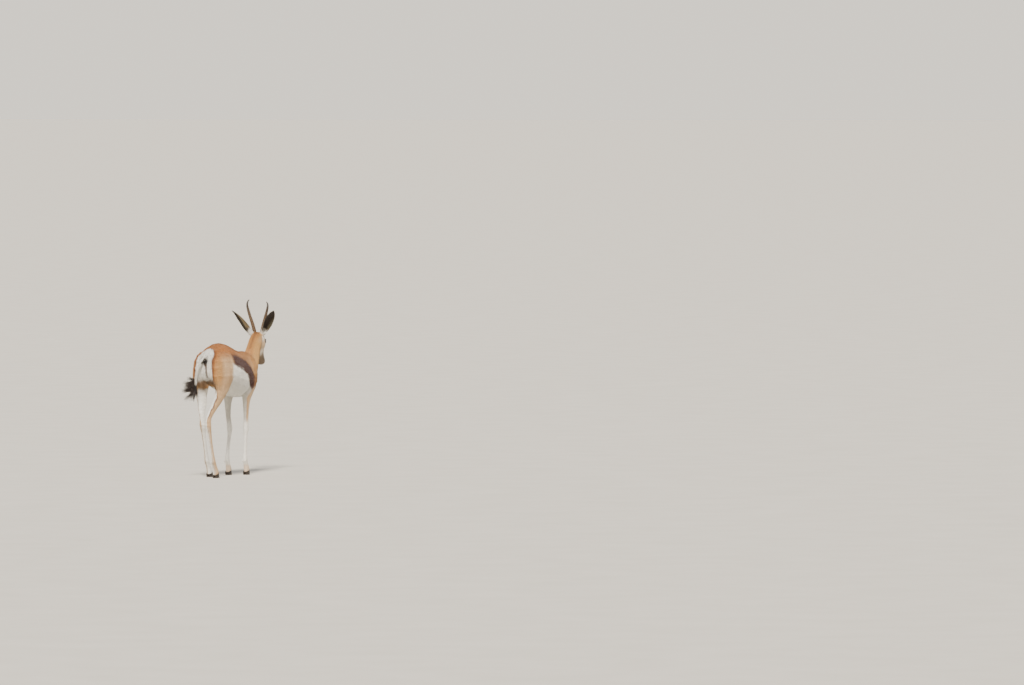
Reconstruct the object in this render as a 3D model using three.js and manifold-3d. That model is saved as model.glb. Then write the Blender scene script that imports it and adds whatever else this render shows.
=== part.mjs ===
// Adult female springbok, standing: a still, life-size model for a museum.
// Millimetres, +Z up, the breast towards +X, the floor at z = 0.
// The body is lofted whole, then parted with thin cuts where a person would name its parts.

import * as THREE from "three";
import { mergeVertices } from "three/addons/utils/BufferGeometryUtils.js";
import Module from "manifold-3d";

const wasm = await Module();
wasm.setup();

// Sizes and pose, in millimetres and degrees
const GAP = 0.3;
const BODY_SIDES = 24;
const NECK_SIDES = 20;
const HEAD_SIDES = 24;
const LEG_SIDES = 16;
const HORN_SIDES = 10;
const EYE_SIDES = 14;
const TAIL_SIDES = 10;

// The trunk: its middle, back line, belly line, the level where it is widest, and half its width there
const TRUNK = [
  { x: -373, y: -8, top: 700, bottom: 630, widest: 662, half: 16 },
  { x: -366, y: -8, top: 724, bottom: 608, widest: 666, half: 39 },
  { x: -348, y: -8, top: 748, bottom: 586, widest: 670, half: 63 },
  { x: -310, y: -8, top: 769, bottom: 566, widest: 670, half: 84 },
  { x: -260, y: -8, top: 788, bottom: 548, widest: 664, half: 100 },
  { x: -190, y: -8, top: 802, bottom: 530, widest: 652, half: 110 },
  { x: -120, y: -6, top: 797, bottom: 514, widest: 641, half: 113 },
  { x: -50, y: -3, top: 784, bottom: 492, widest: 630, half: 110 },
  { x: 20, y: 0, top: 767, bottom: 475, widest: 622, half: 106 },
  { x: 90, y: 0, top: 752, bottom: 468, widest: 616, half: 101 },
  { x: 155, y: 0, top: 744, bottom: 466, widest: 612, half: 93 },
  { x: 215, y: 0, top: 744, bottom: 469, widest: 610, half: 84 },
  { x: 262, y: 0, top: 736, bottom: 480, widest: 608, half: 77 },
  { x: 300, y: 0, top: 712, bottom: 496, widest: 604, half: 66 },
  { x: 330, y: 0, top: 684, bottom: 516, widest: 600, half: 49 },
  { x: 350, y: 0, top: 648, bottom: 546, widest: 598, half: 24 },
];
const TRUNK_POWER = { top: 1.9, bottom: 2.15 };

// The neck: a nape point and a throat point in the middle plane, and half its width
const NECK = [
  { nape: [228, 742], throat: [330, 542], half: 70, y: 0 },
  { nape: [284, 731], throat: [368, 586], half: 58, y: 0 },
  { nape: [320, 746], throat: [398, 632], half: 49, y: 0 },
  { nape: [347, 774], throat: [420, 674], half: 44, y: -1 },
  { nape: [371, 806], throat: [434, 712], half: 41, y: -2 },
  { nape: [400, 835], throat: [442, 744], half: 40, y: -3 },
  { nape: [436, 850], throat: [452, 768], half: 38, y: -3 },
  { nape: [466, 838], throat: [466, 790], half: 24, y: -2 },
];

// The head: its own axes start at the back of the skull and follow the line of the face
const HEAD_AT = [442, -4, 828];
const HEAD_PITCH = 50;
const HEAD_YAW = 12;
const SKULL = [
  { along: -12, up: 14, down: 16, half: 18 },
  { along: -6, up: 30, down: 30, half: 29 },
  { along: 8, up: 42, down: 42, half: 37 },
  { along: 26, up: 51, down: 50, half: 42 },
  { along: 45, up: 53, down: 55, half: 45 },
  { along: 64, up: 50, down: 56, half: 46 },
  { along: 84, up: 42, down: 51, half: 41 },
  { along: 106, up: 35, down: 43, half: 33 },
  { along: 130, up: 30, down: 36, half: 27 },
  { along: 155, up: 27.5, down: 30.5, half: 24.5 },
  { along: 180, up: 25.5, down: 27, half: 25.5 },
  { along: 200, up: 24.5, down: 24, half: 27 },
  { along: 214, up: 20, down: 19, half: 24.5 },
  { along: 222, up: 12, down: 11.5, half: 17 },
  { along: 226, up: 4, down: 4, half: 7 },
];
const SKULL_POWER = { top: 2.3, bottom: 1.8 };
const EYE = { along: 64, up: 21, side: 31, radius: 15.5 };

// The lids: a low mound over the eyeball with an almond opening, its inner corner towards the nose
const LID = { along: 61, up: 20, side: 25, long: 25, high: 21, deep: 20, thick: 2.2 };
const ALMOND = { long: 14, high: 9.2, corner: 11, inner: 0.4, arch: 1.25, droop: 2, depth: 40 };
const GAZE = { side: 0.93, along: 0.24, up: 0.27 };

// The mouth: a groove from corner to corner round the nose, with a lip above and below it
const MOUTH = [
  { along: 160, up: -15 },
  { along: 174, up: -12.5 },
  { along: 190, up: -10 },
  { along: 206, up: -8 },
  { along: 230, up: -6.5 },
];
const MOUTH_OPEN = 1.5;
const MOUTH_DEEP = 4;
const MOUTH_CORNER = 0.3;
const MOUTH_BAND = 120;
const LIPS = { upper: { lift: 3.4, radius: 3.4 }, lower: { lift: -3.2, radius: 3 } };
const LIP_AT = [163, 172, 182, 192, 202, 211, 218];
const LIP_FRONT = 222;
const LIP_SUNK = 0.62;
const LIP_SIDES = 6;
const LIP_STEPS = 18;

// Each nostril: a slanting pit, longer than wide
const NOSTRIL = { along: 216, up: 8, side: 17, long: 7, wide: 3, deep: 6, slant: 38, out: 0.72, ahead: 0.7 };

// The ears: a rolled tube at the root that opens to a long pointed leaf
const EAR_LENGTH = 180;
const EAR_ROOT = { along: 3, up: 24 };
const EAR_LEAF = [
  { at: 0, radius: 13, open: 150, thick: 4.5 },
  { at: 0.14, radius: 17.5, open: 132, thick: 4 },
  { at: 0.3, radius: 25, open: 100, thick: 3.4 },
  { at: 0.48, radius: 33, open: 73, thick: 3 },
  { at: 0.66, radius: 37, open: 57, thick: 2.6 },
  { at: 0.84, radius: 36, open: 36, thick: 2.2 },
  { at: 0.95, radius: 31, open: 17, thick: 1.7 },
  { at: 1, radius: 26, open: 4, thick: 1 },
];
const EAR_ARC = 7;
const EAR_CUP = 0.4;
const EAR_RIM = 0.55;
const EAR_BULB = { radius: 17, sides: 10, along: 2, behind: 4 };
const EARS = {
  left: { side: 1, out: 41, spread: 130, rise: 134, back: 22, faceBack: 0.4, faceOut: 0.7, faceUp: -0.6 },
  right: { side: -1, out: 35, spread: 89, rise: 132, back: 90, faceBack: 0.9, faceOut: 0.8, faceUp: 0.1 },
};

// The horns: rise almost straight, lean back and apart, then hook inwards at the tips
const HORN_ROOT = { along: 34, up: 42 };
const HORN_LINE = [
  { side: 19, back: -4, rise: -12 },
  { side: 23, back: 3, rise: 20 },
  { side: 30, back: 12, rise: 58 },
  { side: 42, back: 23, rise: 102 },
  { side: 54, back: 31, rise: 145 },
  { side: 62, back: 33, rise: 181 },
  { side: 61, back: 27, rise: 203 },
  { side: 53, back: 20, rise: 217 },
];
const HORN_BASE = 12.8;
const HORN_TIP = 2.2;
const HORN_TAPER = 0.66;
const HORN_DEEPER = 1.12;
const HORN_RINGS = 13;
const HORN_RINGED = 0.6;
const HORN_RING_HEIGHT = 1.3;
const HORN_SMOOTH_STEPS = 5;
const RIGHT_HORN_SHARE = 0.94;

// A hind leg: back and front edge in side view, middle and half width in rear view
const HIND_LEG = [
  { z: 752, back: -296, front: -222, y: 48, half: 24 },
  { z: 734, back: -330, front: -178, y: 53, half: 39 },
  { z: 700, back: -362, front: -142, y: 57, half: 49 },
  { z: 655, back: -380, front: -120, y: 59, half: 51 },
  { z: 610, back: -382, front: -122, y: 62, half: 49 },
  { z: 565, back: -370, front: -148, y: 68, half: 40 },
  { z: 525, back: -350, front: -184, y: 72, half: 30 },
  { z: 488, back: -350, front: -224, y: 67, half: 25.5 },
  { z: 452, back: -367, front: -266, y: 60, half: 22.5 },
  { z: 418, back: -394, front: -314, y: 53, half: 20 },
  { z: 388, back: -420, front: -356, y: 49, half: 17 },
  { z: 362, back: -440, front: -386, y: 46, half: 15.5 },
  { z: 342, back: -446, front: -398, y: 46, half: 16.5 },
  { z: 318, back: -443, front: -400, y: 46, half: 18 },
  { z: 296, back: -434, front: -395, y: 45, half: 17 },
  { z: 270, back: -419, front: -385, y: 45, half: 13 },
  { z: 235, back: -404, front: -374, y: 45, half: 10.5 },
  { z: 190, back: -388, front: -359, y: 45, half: 10 },
  { z: 145, back: -373, front: -343, y: 45, half: 10.5 },
  { z: 115, back: -365, front: -330, y: 45, half: 13 },
  { z: 94, back: -362, front: -319, y: 45, half: 15 },
  { z: 74, back: -347, front: -305, y: 45, half: 14 },
  { z: 54, back: -334, front: -288, y: 45, half: 15 },
  { z: 36, back: -327, front: -277, y: 45, half: 17 },
  { z: 18, back: -324, front: -270, y: 45, half: 16 },
];

// A foreleg, in the same way, from the shoulder blade down
const FORE_LEG = [
  { z: 716, back: 212, front: 262, y: 36, half: 16 },
  { z: 698, back: 188, front: 278, y: 42, half: 28 },
  { z: 655, back: 162, front: 296, y: 49, half: 34 },
  { z: 608, back: 144, front: 307, y: 51, half: 35 },
  { z: 565, back: 130, front: 308, y: 51, half: 34 },
  { z: 525, back: 118, front: 288, y: 50, half: 30 },
  { z: 492, back: 114, front: 252, y: 50, half: 26 },
  { z: 462, back: 122, front: 220, y: 49, half: 22 },
  { z: 432, back: 132, front: 203, y: 48, half: 19 },
  { z: 398, back: 140, front: 194, y: 47, half: 16.5 },
  { z: 356, back: 145, front: 187, y: 47, half: 14.5 },
  { z: 318, back: 147, front: 185, y: 46, half: 14.5 },
  { z: 288, back: 144, front: 188, y: 46, half: 16.5 },
  { z: 264, back: 144, front: 184, y: 46, half: 15.5 },
  { z: 242, back: 147, front: 176, y: 46, half: 11.5 },
  { z: 190, back: 145, front: 171, y: 46, half: 10 },
  { z: 140, back: 141, front: 168, y: 46, half: 10.5 },
  { z: 112, back: 137, front: 169, y: 46, half: 12.5 },
  { z: 92, back: 134, front: 172, y: 46, half: 14.5 },
  { z: 72, back: 143, front: 181, y: 46, half: 13.5 },
  { z: 54, back: 150, front: 193, y: 46, half: 15 },
  { z: 36, back: 153, front: 201, y: 46, half: 17 },
  { z: 18, back: 155, front: 206, y: 46, half: 16 },
];

// How far each leg is carried forward and to the left of the tables above, at the heights named
const LEVEL = [[0, 0]];
const HIP_SWAY = [[520, 0], [640, -8]];
const BENT_HIND = [[640, 0], [500, 26], [420, 52], [342, 98], [85, 118]];
const HOCK_SWAY = [[640, -8], [520, 0], [342, -15], [200, -4], [110, 0]];
const STANCE = {
  hind_right: { side: -1, reach: LEVEL, sway: HIP_SWAY, heel: -322 },
  hind_left: { side: 1, reach: BENT_HIND, sway: HOCK_SWAY, heel: -322 },
  fore_right: { side: -1, reach: LEVEL, sway: LEVEL, heel: 152 },
  fore_left: {
    side: 1,
    reach: [[640, 0], [460, -28], [280, -29], [85, -60]],
    sway: [[240, 0], [400, 12], [560, 4], [640, 0]],
    heel: 152,
  },
};

// Each half of a cloven hoof, measured from its heel and from the line between the two halves
const CLAW = [
  { z: 0, heel: 1, toe: 56, inner: 1.4, outer: 17.5 },
  { z: 3, heel: 0, toe: 57, inner: 1.2, outer: 18.4 },
  { z: 16, heel: -2, toe: 51, inner: 1.2, outer: 18.6 },
  { z: 32, heel: -4, toe: 44, inner: 1.2, outer: 17.6 },
  { z: 46, heel: -6, toe: 38, inner: 1.2, outer: 16 },
];
const CLAW_SIDES = 12;
const CLAW_SHAPE = { inner: 3, waist: 0.42, toePower: 1.7, heelPower: 2.4 };
const CORONET = { heelZ: 17, toeZ: 37, length: 52, reach: 40, drop: 60 };

// The tail hangs from the rump and swings to the left, and ends in a tuft
const TAIL = [
  { at: [-338, -8, 740], half: 15, deep: 12 },
  { at: [-366, -4, 726], half: 14, deep: 11 },
  { at: [-392, 12, 692], half: 11, deep: 9 },
  { at: [-402, 31, 646], half: 9, deep: 8 },
  { at: [-404, 40, 600], half: 8, deep: 7 },
  { at: [-404, 42, 562], half: 8, deep: 6.5 },
  { at: [-405, 45, 532], half: 6.5, deep: 5.5 },
  { at: [-405, 49, 508], half: 3, deep: 3 },
];

const TUFT = {
  locks: 18,
  from: 0.74,
  shortest: 38,
  longest: 86,
  wide: 3.8,
  thick: 1.5,
  to: 0.97,
  swingFrom: -20,
  swing: 118,
  lean: 24,
  droop: 0.18,
  steps: 3,
  sides: 6,
  seed: 7,
};

// The small side hooves behind each fetlock
const DEWCLAW = { z: 84, behind: 3, apart: 9, radius: 5.5, sides: 8 };

// The cuts between the trunk and the rest
const LEG_CUTS = {
  hind: { inner: 2, innerZ: 492, slope: 46, xFrom: -520, xTo: -60 },
  fore: { inner: 2, innerZ: 456, slope: 46, xFrom: 20, xTo: 420 },
};
const LEG_MARGIN = 6;
const NECK_CUT = { high: [276, 748], low: [352, 560] };
const FAR = 700;

// Coat and horn colours of each part
const ROUGHNESS = { coat: 0.9, face: 0.85, horn: 0.5, hoof: 0.45, eye: 0.1 };
const COLOURS = {
  torso: 0xb07c52,
  neck: 0xb98a63,
  head: 0xd9c9b2,
  ear: 0xa89684,
  leg: 0xc9a27c,
  tail: 0xe6ddcf,
  horn: 0x4a4038,
  hoof: 0x2b2724,
  eye: 0x1d130d,
};

const radians = THREE.MathUtils.degToRad;

// A smooth curve through a list of numbers, read at t from 0 to the last index
function through(values, t) {
  const last = values.length - 1;
  const i = Math.min(Math.floor(t), last - 1);
  const f = t - i;
  const [b, c] = [values[i], values[i + 1]];
  const a = i > 0 ? values[i - 1] : 2 * b - c;
  const d = i < last - 1 ? values[i + 2] : 2 * c - b;
  const bend = 2 * b + (c - a) * f + (2 * a - 5 * b + 4 * c - d) * f * f + (3 * b - a - 3 * c + d) * f ** 3;
  return bend / 2;
}

// A straight line between [place, value] pairs, held level past both ends
function between(pairs, place) {
  const rows = [...pairs].sort((a, b) => a[0] - b[0]);
  if (place <= rows[0][0]) return rows[0][1];
  for (let i = 1; i < rows.length; i += 1) {
    const [low, high] = [rows[i - 1], rows[i]];
    if (place <= high[0]) {
      const share = (place - low[0]) / (high[0] - low[0]);
      const eased = share * share * (3 - 2 * share);
      return low[1] + (high[1] - low[1]) * eased;
    }
  }
  return rows[rows.length - 1][1];
}

// Stations of named numbers, read at steps evenly spaced between them
function spread(stations, steps) {
  const names = Object.keys(stations[0]);
  const rows = [];
  const count = (stations.length - 1) * steps;
  for (let i = 0; i <= count; i += 1) {
    const row = {};
    for (const name of names) {
      row[name] = through(stations.map((s) => s[name]), i / steps);
    }
    rows.push(row);
  }
  return rows;
}

// A closed ring of points: an oval whose four arms and squareness can differ
function oval(centre, across, upward, size, sides) {
  const ring = [];
  for (let i = 0; i < sides; i += 1) {
    const angle = (2 * Math.PI * i) / sides;
    const c = Math.cos(angle);
    const s = Math.sin(angle);
    const power = 2 / (s > 0 ? size.topPower ?? 2 : size.bottomPower ?? 2);
    const armAcross = c > 0 ? size.left : size.right;
    const armUp = s > 0 ? size.up : size.down;
    ring.push(
      centre
        .clone()
        .addScaledVector(across, Math.sign(c) * Math.abs(c) ** power * armAcross)
        .addScaledVector(upward, Math.sign(s) * Math.abs(s) ** power * armUp),
    );
  }
  return ring;
}

// Skins a row of rings, closes both ends at their middles, and turns the faces outwards
function skinned(rings) {
  const sides = rings[0].length;
  const points = rings.flat();
  for (const end of [rings[0], rings[rings.length - 1]]) {
    points.push(end.reduce((sum, p) => sum.add(p), new THREE.Vector3()).divideScalar(sides));
  }
  const faces = [];
  for (let r = 0; r < rings.length - 1; r += 1) {
    for (let i = 0; i < sides; i += 1) {
      const a = r * sides + i;
      const b = r * sides + ((i + 1) % sides);
      faces.push([a, b, b + sides], [a, b + sides, a + sides]);
    }
  }
  const lastRing = (rings.length - 1) * sides;
  for (let i = 0; i < sides; i += 1) {
    const next = (i + 1) % sides;
    faces.push([rings.length * sides, next, i]);
    faces.push([rings.length * sides + 1, lastRing + i, lastRing + next]);
  }
  return surface(points, faces);
}

// A geometry from points and triangles, turned so that its faces look outwards
function surface(points, faces) {
  let volume = 0;
  for (const [a, b, c] of faces) {
    volume += points[a].dot(new THREE.Vector3().crossVectors(points[b], points[c]));
  }
  const order = volume < 0 ? faces.map(([a, b, c]) => [a, c, b]) : faces;
  const geometry = new THREE.BufferGeometry();
  const flat = points.flatMap((p) => [p.x, p.y, p.z]);
  geometry.setAttribute("position", new THREE.Float32BufferAttribute(flat, 3));
  geometry.setIndex(order.flat());
  return geometry;
}

// A closed geometry as a solid that can be joined and cut
function solid(geometry) {
  const bare = geometry.clone();
  bare.deleteAttribute("normal");
  bare.deleteAttribute("uv");
  const merged = mergeVertices(bare, 1e-4);
  return new wasm.Manifold(
    new wasm.Mesh({
      numProp: 3,
      vertProperties: merged.attributes.position.array,
      triVerts: new Uint32Array(merged.index.array),
    }),
  );
}

function joined(pieces) {
  return pieces.reduce((whole, piece) => whole.add(piece));
}

function cut(whole, cutters) {
  return cutters.reduce((rest, cutter) => rest.subtract(cutter), whole);
}

// Keeps the largest closed body and drops loose scraps
function largest(shape) {
  return shape.decompose().reduce((best, body) => (body.volume() > best.volume() ? body : best));
}

function named(name, shape, colour, roughness) {
  const mesh = largest(shape).getMesh();
  const geometry = new THREE.BufferGeometry();
  geometry.setAttribute("position", new THREE.BufferAttribute(new Float32Array(mesh.vertProperties), 3));
  geometry.setIndex(new THREE.BufferAttribute(new Uint32Array(mesh.triVerts), 1));
  geometry.computeVertexNormals();
  const part = new THREE.Mesh(geometry, new THREE.MeshStandardMaterial({ color: colour, roughness, metalness: 0 }));
  part.name = name;
  return part;
}

function trunk(grow = 0) {
  const rings = spread(TRUNK, 2).map((row) =>
    oval(
      new THREE.Vector3(row.x, row.y, row.widest),
      new THREE.Vector3(0, 1, 0),
      new THREE.Vector3(0, 0, 1),
      {
        left: row.half + grow,
        right: row.half + grow,
        up: row.top - row.widest + grow,
        down: row.widest - row.bottom + grow,
        topPower: TRUNK_POWER.top,
        bottomPower: TRUNK_POWER.bottom,
      },
      BODY_SIDES,
    ),
  );
  return solid(skinned(rings));
}

function neck(grow = 0) {
  const stations = NECK.map((s) => ({
    napeX: s.nape[0],
    napeZ: s.nape[1],
    throatX: s.throat[0],
    throatZ: s.throat[1],
    half: s.half,
    y: s.y,
  }));
  const rings = spread(stations, 2).map((row) => {
    const nape = new THREE.Vector3(row.napeX, row.y, row.napeZ);
    const throat = new THREE.Vector3(row.throatX, row.y, row.throatZ);
    const upward = nape.clone().sub(throat);
    const arm = upward.length() / 2;
    return oval(
      nape.clone().add(throat).multiplyScalar(0.5),
      new THREE.Vector3(0, 1, 0),
      upward.normalize(),
      { left: row.half + grow, right: row.half + grow, up: arm + grow, down: arm + grow },
      NECK_SIDES,
    );
  });
  return solid(skinned(rings));
}

// The head's own axes: along the face, up from it, and to its left
function headAxes() {
  const pitch = radians(HEAD_PITCH);
  const yaw = radians(HEAD_YAW);
  return {
    origin: new THREE.Vector3(...HEAD_AT),
    along: new THREE.Vector3(Math.cos(pitch) * Math.cos(yaw), Math.cos(pitch) * Math.sin(yaw), -Math.sin(pitch)),
    up: new THREE.Vector3(Math.sin(pitch) * Math.cos(yaw), Math.sin(pitch) * Math.sin(yaw), Math.cos(pitch)),
    side: new THREE.Vector3(-Math.sin(yaw), Math.cos(yaw), 0),
    back: new THREE.Vector3(-Math.cos(yaw), -Math.sin(yaw), 0),
  };
}

function onHead(along, up, side) {
  const axes = headAxes();
  return axes.origin
    .clone()
    .addScaledVector(axes.along, along)
    .addScaledVector(axes.up, up)
    .addScaledVector(axes.side, side);
}

function skull(grow = 0) {
  const axes = headAxes();
  const rings = spread(SKULL, 2).map((row) =>
    oval(
      onHead(row.along, 0, 0),
      axes.side,
      axes.up,
      {
        left: row.half + grow,
        right: row.half + grow,
        up: row.up + grow,
        down: row.down + grow,
        topPower: SKULL_POWER.top,
        bottomPower: SKULL_POWER.bottom,
      },
      HEAD_SIDES,
    ),
  );
  return solid(skinned(rings));
}

function ball(centre, radius, sides) {
  const geometry = new THREE.SphereGeometry(radius, sides, Math.round(sides * 0.7));
  geometry.translate(centre.x, centre.y, centre.z);
  return solid(geometry);
}

function eyeCentre(side) {
  return onHead(EYE.along, EYE.up, side * EYE.side);
}

function eye(side, grow = 0) {
  return ball(eyeCentre(side), EYE.radius + grow, EYE_SIDES);
}

// Directions for one eye: out of the head, and towards the nose square to that
function gaze(side) {
  const axes = headAxes();
  const out = axes.side
    .clone()
    .multiplyScalar(side * GAZE.side)
    .addScaledVector(axes.along, GAZE.along)
    .addScaledVector(axes.up, GAZE.up)
    .normalize();
  const nose = axes.along.clone().addScaledVector(out, -axes.along.dot(out)).normalize();
  return { out, nose };
}

function lidMound(side) {
  const axes = headAxes();
  const geometry = new THREE.SphereGeometry(1, EYE_SIDES + 2, EYE_SIDES - 4);
  geometry.scale(LID.long, LID.high, LID.deep);
  const across = new THREE.Vector3().crossVectors(axes.along, axes.up);
  geometry.applyMatrix4(new THREE.Matrix4().makeBasis(axes.along, axes.up, across));
  const centre = onHead(LID.along, LID.up, side * LID.side);
  geometry.translate(centre.x, centre.y, centre.z);
  return solid(geometry).add(ball(eyeCentre(side), EYE.radius + LID.thick, EYE_SIDES));
}

// The almond opening between the lids, cut from the eyeball's middle outwards
function lidOpening(side) {
  const { out, nose } = gaze(side);
  const across = new THREE.Vector3().crossVectors(out, nose);
  const { long, high, corner, inner, arch, droop, depth } = ALMOND;
  const almond = new THREE.Shape();
  almond.moveTo(-long, 0);
  almond.bezierCurveTo(-corner, high, corner * inner, high * arch, long, -side * droop);
  almond.bezierCurveTo(corner * inner, -high * arch, -corner, -high, -long, 0);
  const geometry = new THREE.ExtrudeGeometry(almond, { depth, curveSegments: 6, bevelEnabled: false });
  geometry.applyMatrix4(new THREE.Matrix4().makeBasis(nose, across, out));
  const centre = eyeCentre(side);
  geometry.translate(centre.x, centre.y, centre.z);
  return solid(geometry);
}

// Half the width of the skull at a place along it and a height on its side
function skullHalf(along, up) {
  const rows = spread(SKULL, 8);
  const row = rows.reduce((best, r) => (Math.abs(r.along - along) < Math.abs(best.along - along) ? r : best));
  const arm = up > 0 ? row.up : row.down;
  const power = up > 0 ? SKULL_POWER.top : SKULL_POWER.bottom;
  const share = Math.min(Math.abs(up) / arm, 1);
  return row.half * (1 - share ** power) ** (1 / power);
}

function mouthUp(along) {
  return between(MOUTH.map((row) => [row.along, row.up]), along);
}

// A narrow slot round the muzzle that leaves its core whole
function mouthSlot() {
  const axes = headAxes();
  const shape = new THREE.Shape();
  MOUTH.forEach((row, i) => {
    const half = (MOUTH_OPEN / 2) * (i === 0 ? MOUTH_CORNER : 1);
    if (i === 0) shape.moveTo(row.along, row.up + half);
    else shape.lineTo(row.along, row.up + half);
  });
  [...MOUTH].reverse().forEach((row, i) => {
    const half = (MOUTH_OPEN / 2) * (i === MOUTH.length - 1 ? MOUTH_CORNER : 1);
    shape.lineTo(row.along, row.up - half);
  });
  const band = new THREE.ExtrudeGeometry(shape, { depth: MOUTH_BAND, bevelEnabled: false });
  band.translate(0, 0, -MOUTH_BAND / 2);
  const across = new THREE.Vector3().crossVectors(axes.along, axes.up);
  band.applyMatrix4(new THREE.Matrix4().makeBasis(axes.along, axes.up, across));
  band.translate(axes.origin.x, axes.origin.y, axes.origin.z);
  return solid(band).subtract(skull(-MOUTH_DEEP));
}

// One lip: a soft roll that follows the mouth from corner to corner round the nose
function lip({ lift, radius }) {
  const half = [];
  for (const along of LIP_AT) {
    const up = mouthUp(along) + lift;
    half.push({ along, up, side: Math.max(skullHalf(along, up) - radius * LIP_SUNK, 1) });
  }
  const front = { along: LIP_FRONT - radius * 0.4, up: mouthUp(LIP_FRONT) + lift, side: 0 };
  const points = [
    ...half.map((p) => onHead(p.along, p.up, p.side)),
    onHead(front.along, front.up, front.side),
    ...[...half].reverse().map((p) => onHead(p.along, p.up, -p.side)),
  ];
  const section = new THREE.Shape();
  for (let i = 0; i <= LIP_SIDES; i += 1) {
    const angle = (2 * Math.PI * i) / LIP_SIDES;
    const [x, y] = [radius * Math.cos(angle), radius * Math.sin(angle)];
    if (i === 0) section.moveTo(x, y);
    else if (i < LIP_SIDES) section.lineTo(x, y);
  }
  const path = new THREE.CatmullRomCurve3(points);
  return solid(new THREE.ExtrudeGeometry(section, { steps: LIP_STEPS, extrudePath: path, bevelEnabled: false }));
}

// A stretched ball laid in the skin of the nose
function nostril(side) {
  const axes = headAxes();
  const { along, up, side: apart, long, wide, deep, slant, out: outward, ahead: forward } = NOSTRIL;
  const geometry = new THREE.SphereGeometry(1, 12, 8);
  geometry.scale(long, wide, deep);
  geometry.rotateZ(side * radians(-slant));
  const out = axes.side.clone().multiplyScalar(side * outward).addScaledVector(axes.along, forward).normalize();
  const upward = axes.up.clone();
  const level = new THREE.Vector3().crossVectors(upward, out).normalize();
  geometry.applyMatrix4(new THREE.Matrix4().makeBasis(level, upward, out));
  const centre = onHead(along, up, side * apart);
  geometry.translate(centre.x, centre.y, centre.z);
  return solid(geometry);
}

// The head with its lids, lips, nostrils and mouth, hollowed where the eyeballs sit
function face() {
  const sides = [1, -1];
  const raised = joined([
    skull(),
    ...sides.map((side) => lidMound(side)),
    lip(LIPS.upper),
    lip(LIPS.lower),
  ]);
  return cut(raised, [
    mouthSlot(),
    ...sides.map((side) => lidOpening(side)),
    ...sides.map((side) => nostril(side)),
    ...sides.map((side) => eye(side, GAP)),
  ]);
}

// A leg: level rings between its back and front edges, carried forward as it stands
function leg(table, stance, grow = 0) {
  const rings = spread(table, 1).map((row) => {
    const shift = between(stance.reach, row.z);
    const sway = between(stance.sway, row.z);
    const arm = (row.front - row.back) / 2;
    return oval(
      new THREE.Vector3((row.front + row.back) / 2 + shift, stance.side * row.y + sway, row.z),
      new THREE.Vector3(0, 1, 0),
      new THREE.Vector3(1, 0, 0),
      {
        left: row.half + grow,
        right: row.half + grow,
        up: arm + grow,
        down: arm + grow,
      },
      LEG_SIDES,
    );
  });
  return solid(skinned(rings));
}

// The pair of small side hooves at the back of a fetlock
function dewclaws(name, table) {
  const stance = STANCE[name];
  const row = table.reduce((best, r) => (Math.abs(r.z - DEWCLAW.z) < Math.abs(best.z - DEWCLAW.z) ? r : best));
  const shift = between(stance.reach, DEWCLAW.z);
  return [1, -1].map((side) => {
    const geometry = new THREE.SphereGeometry(DEWCLAW.radius, DEWCLAW.sides, 6);
    geometry.scale(0.9, 0.8, 1.25);
    geometry.translate(row.back + shift + DEWCLAW.behind, stance.side * row.y + side * DEWCLAW.apart, DEWCLAW.z);
    return solid(geometry);
  });
}

function footOf(name, table) {
  const stance = STANCE[name];
  const last = table[table.length - 1];
  return { x: stance.heel + between(stance.reach, 0), y: stance.side * last.y };
}

// The block below the slanting line where the hoof's horn begins
function coronet(foot, lift) {
  const { heelZ, toeZ, length, reach, drop } = CORONET;
  const slope = (toeZ - heelZ) / length;
  const shape = new THREE.Shape();
  shape.moveTo(-reach, heelZ - reach * slope + lift);
  shape.lineTo(length + reach, toeZ + reach * slope + lift);
  shape.lineTo(length + reach, -drop);
  shape.lineTo(-reach, -drop);
  const geometry = new THREE.ExtrudeGeometry(shape, { depth: 2 * reach, bevelEnabled: false });
  geometry.rotateX(Math.PI / 2);
  geometry.translate(foot.x, foot.y + reach, 0);
  return solid(geometry);
}

function claw(foot, side) {
  const rings = CLAW.map((row) => {
    const heel = foot.x + row.heel;
    const toe = foot.x + row.toe;
    const { inner } = CLAW_SHAPE;
    const waist = heel + (toe - heel) * CLAW_SHAPE.waist;
    const seam = foot.y + side * (row.inner + inner);
    const outer = row.outer - row.inner - inner;
    return oval(
      new THREE.Vector3(waist, seam, row.z),
      new THREE.Vector3(0, 1, 0),
      new THREE.Vector3(1, 0, 0),
      {
        left: side > 0 ? outer : inner,
        right: side > 0 ? inner : outer,
        up: toe - waist,
        down: waist - heel,
        topPower: CLAW_SHAPE.toePower,
        bottomPower: CLAW_SHAPE.heelPower,
      },
      CLAW_SIDES,
    );
  });
  return solid(skinned(rings));
}

// The line of a horn, from inside the skull to its tip
function hornLine(side, share) {
  const axes = headAxes();
  const root = onHead(HORN_ROOT.along, HORN_ROOT.up, 0);
  const points = HORN_LINE.map((row) =>
    root
      .clone()
      .addScaledVector(axes.side, side * row.side)
      .addScaledVector(axes.back, row.back * share)
      .add(new THREE.Vector3(0, 0, row.rise * share)),
  );
  return new THREE.CatmullRomCurve3(points);
}

// How far along the horn each ring of points lies, and how much it stands out there
function hornProfile() {
  const rows = [];
  for (let i = 0; i < HORN_RINGS; i += 1) {
    const start = (i / HORN_RINGS) * HORN_RINGED;
    const pitch = HORN_RINGED / HORN_RINGS;
    rows.push({ t: start, swell: 0 }, { t: start + pitch * 0.62, swell: 1 });
  }
  for (let i = 0; i <= HORN_SMOOTH_STEPS; i += 1) {
    rows.push({ t: HORN_RINGED + ((1 - HORN_RINGED) * i) / HORN_SMOOTH_STEPS, swell: 0 });
  }
  return rows;
}

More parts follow.
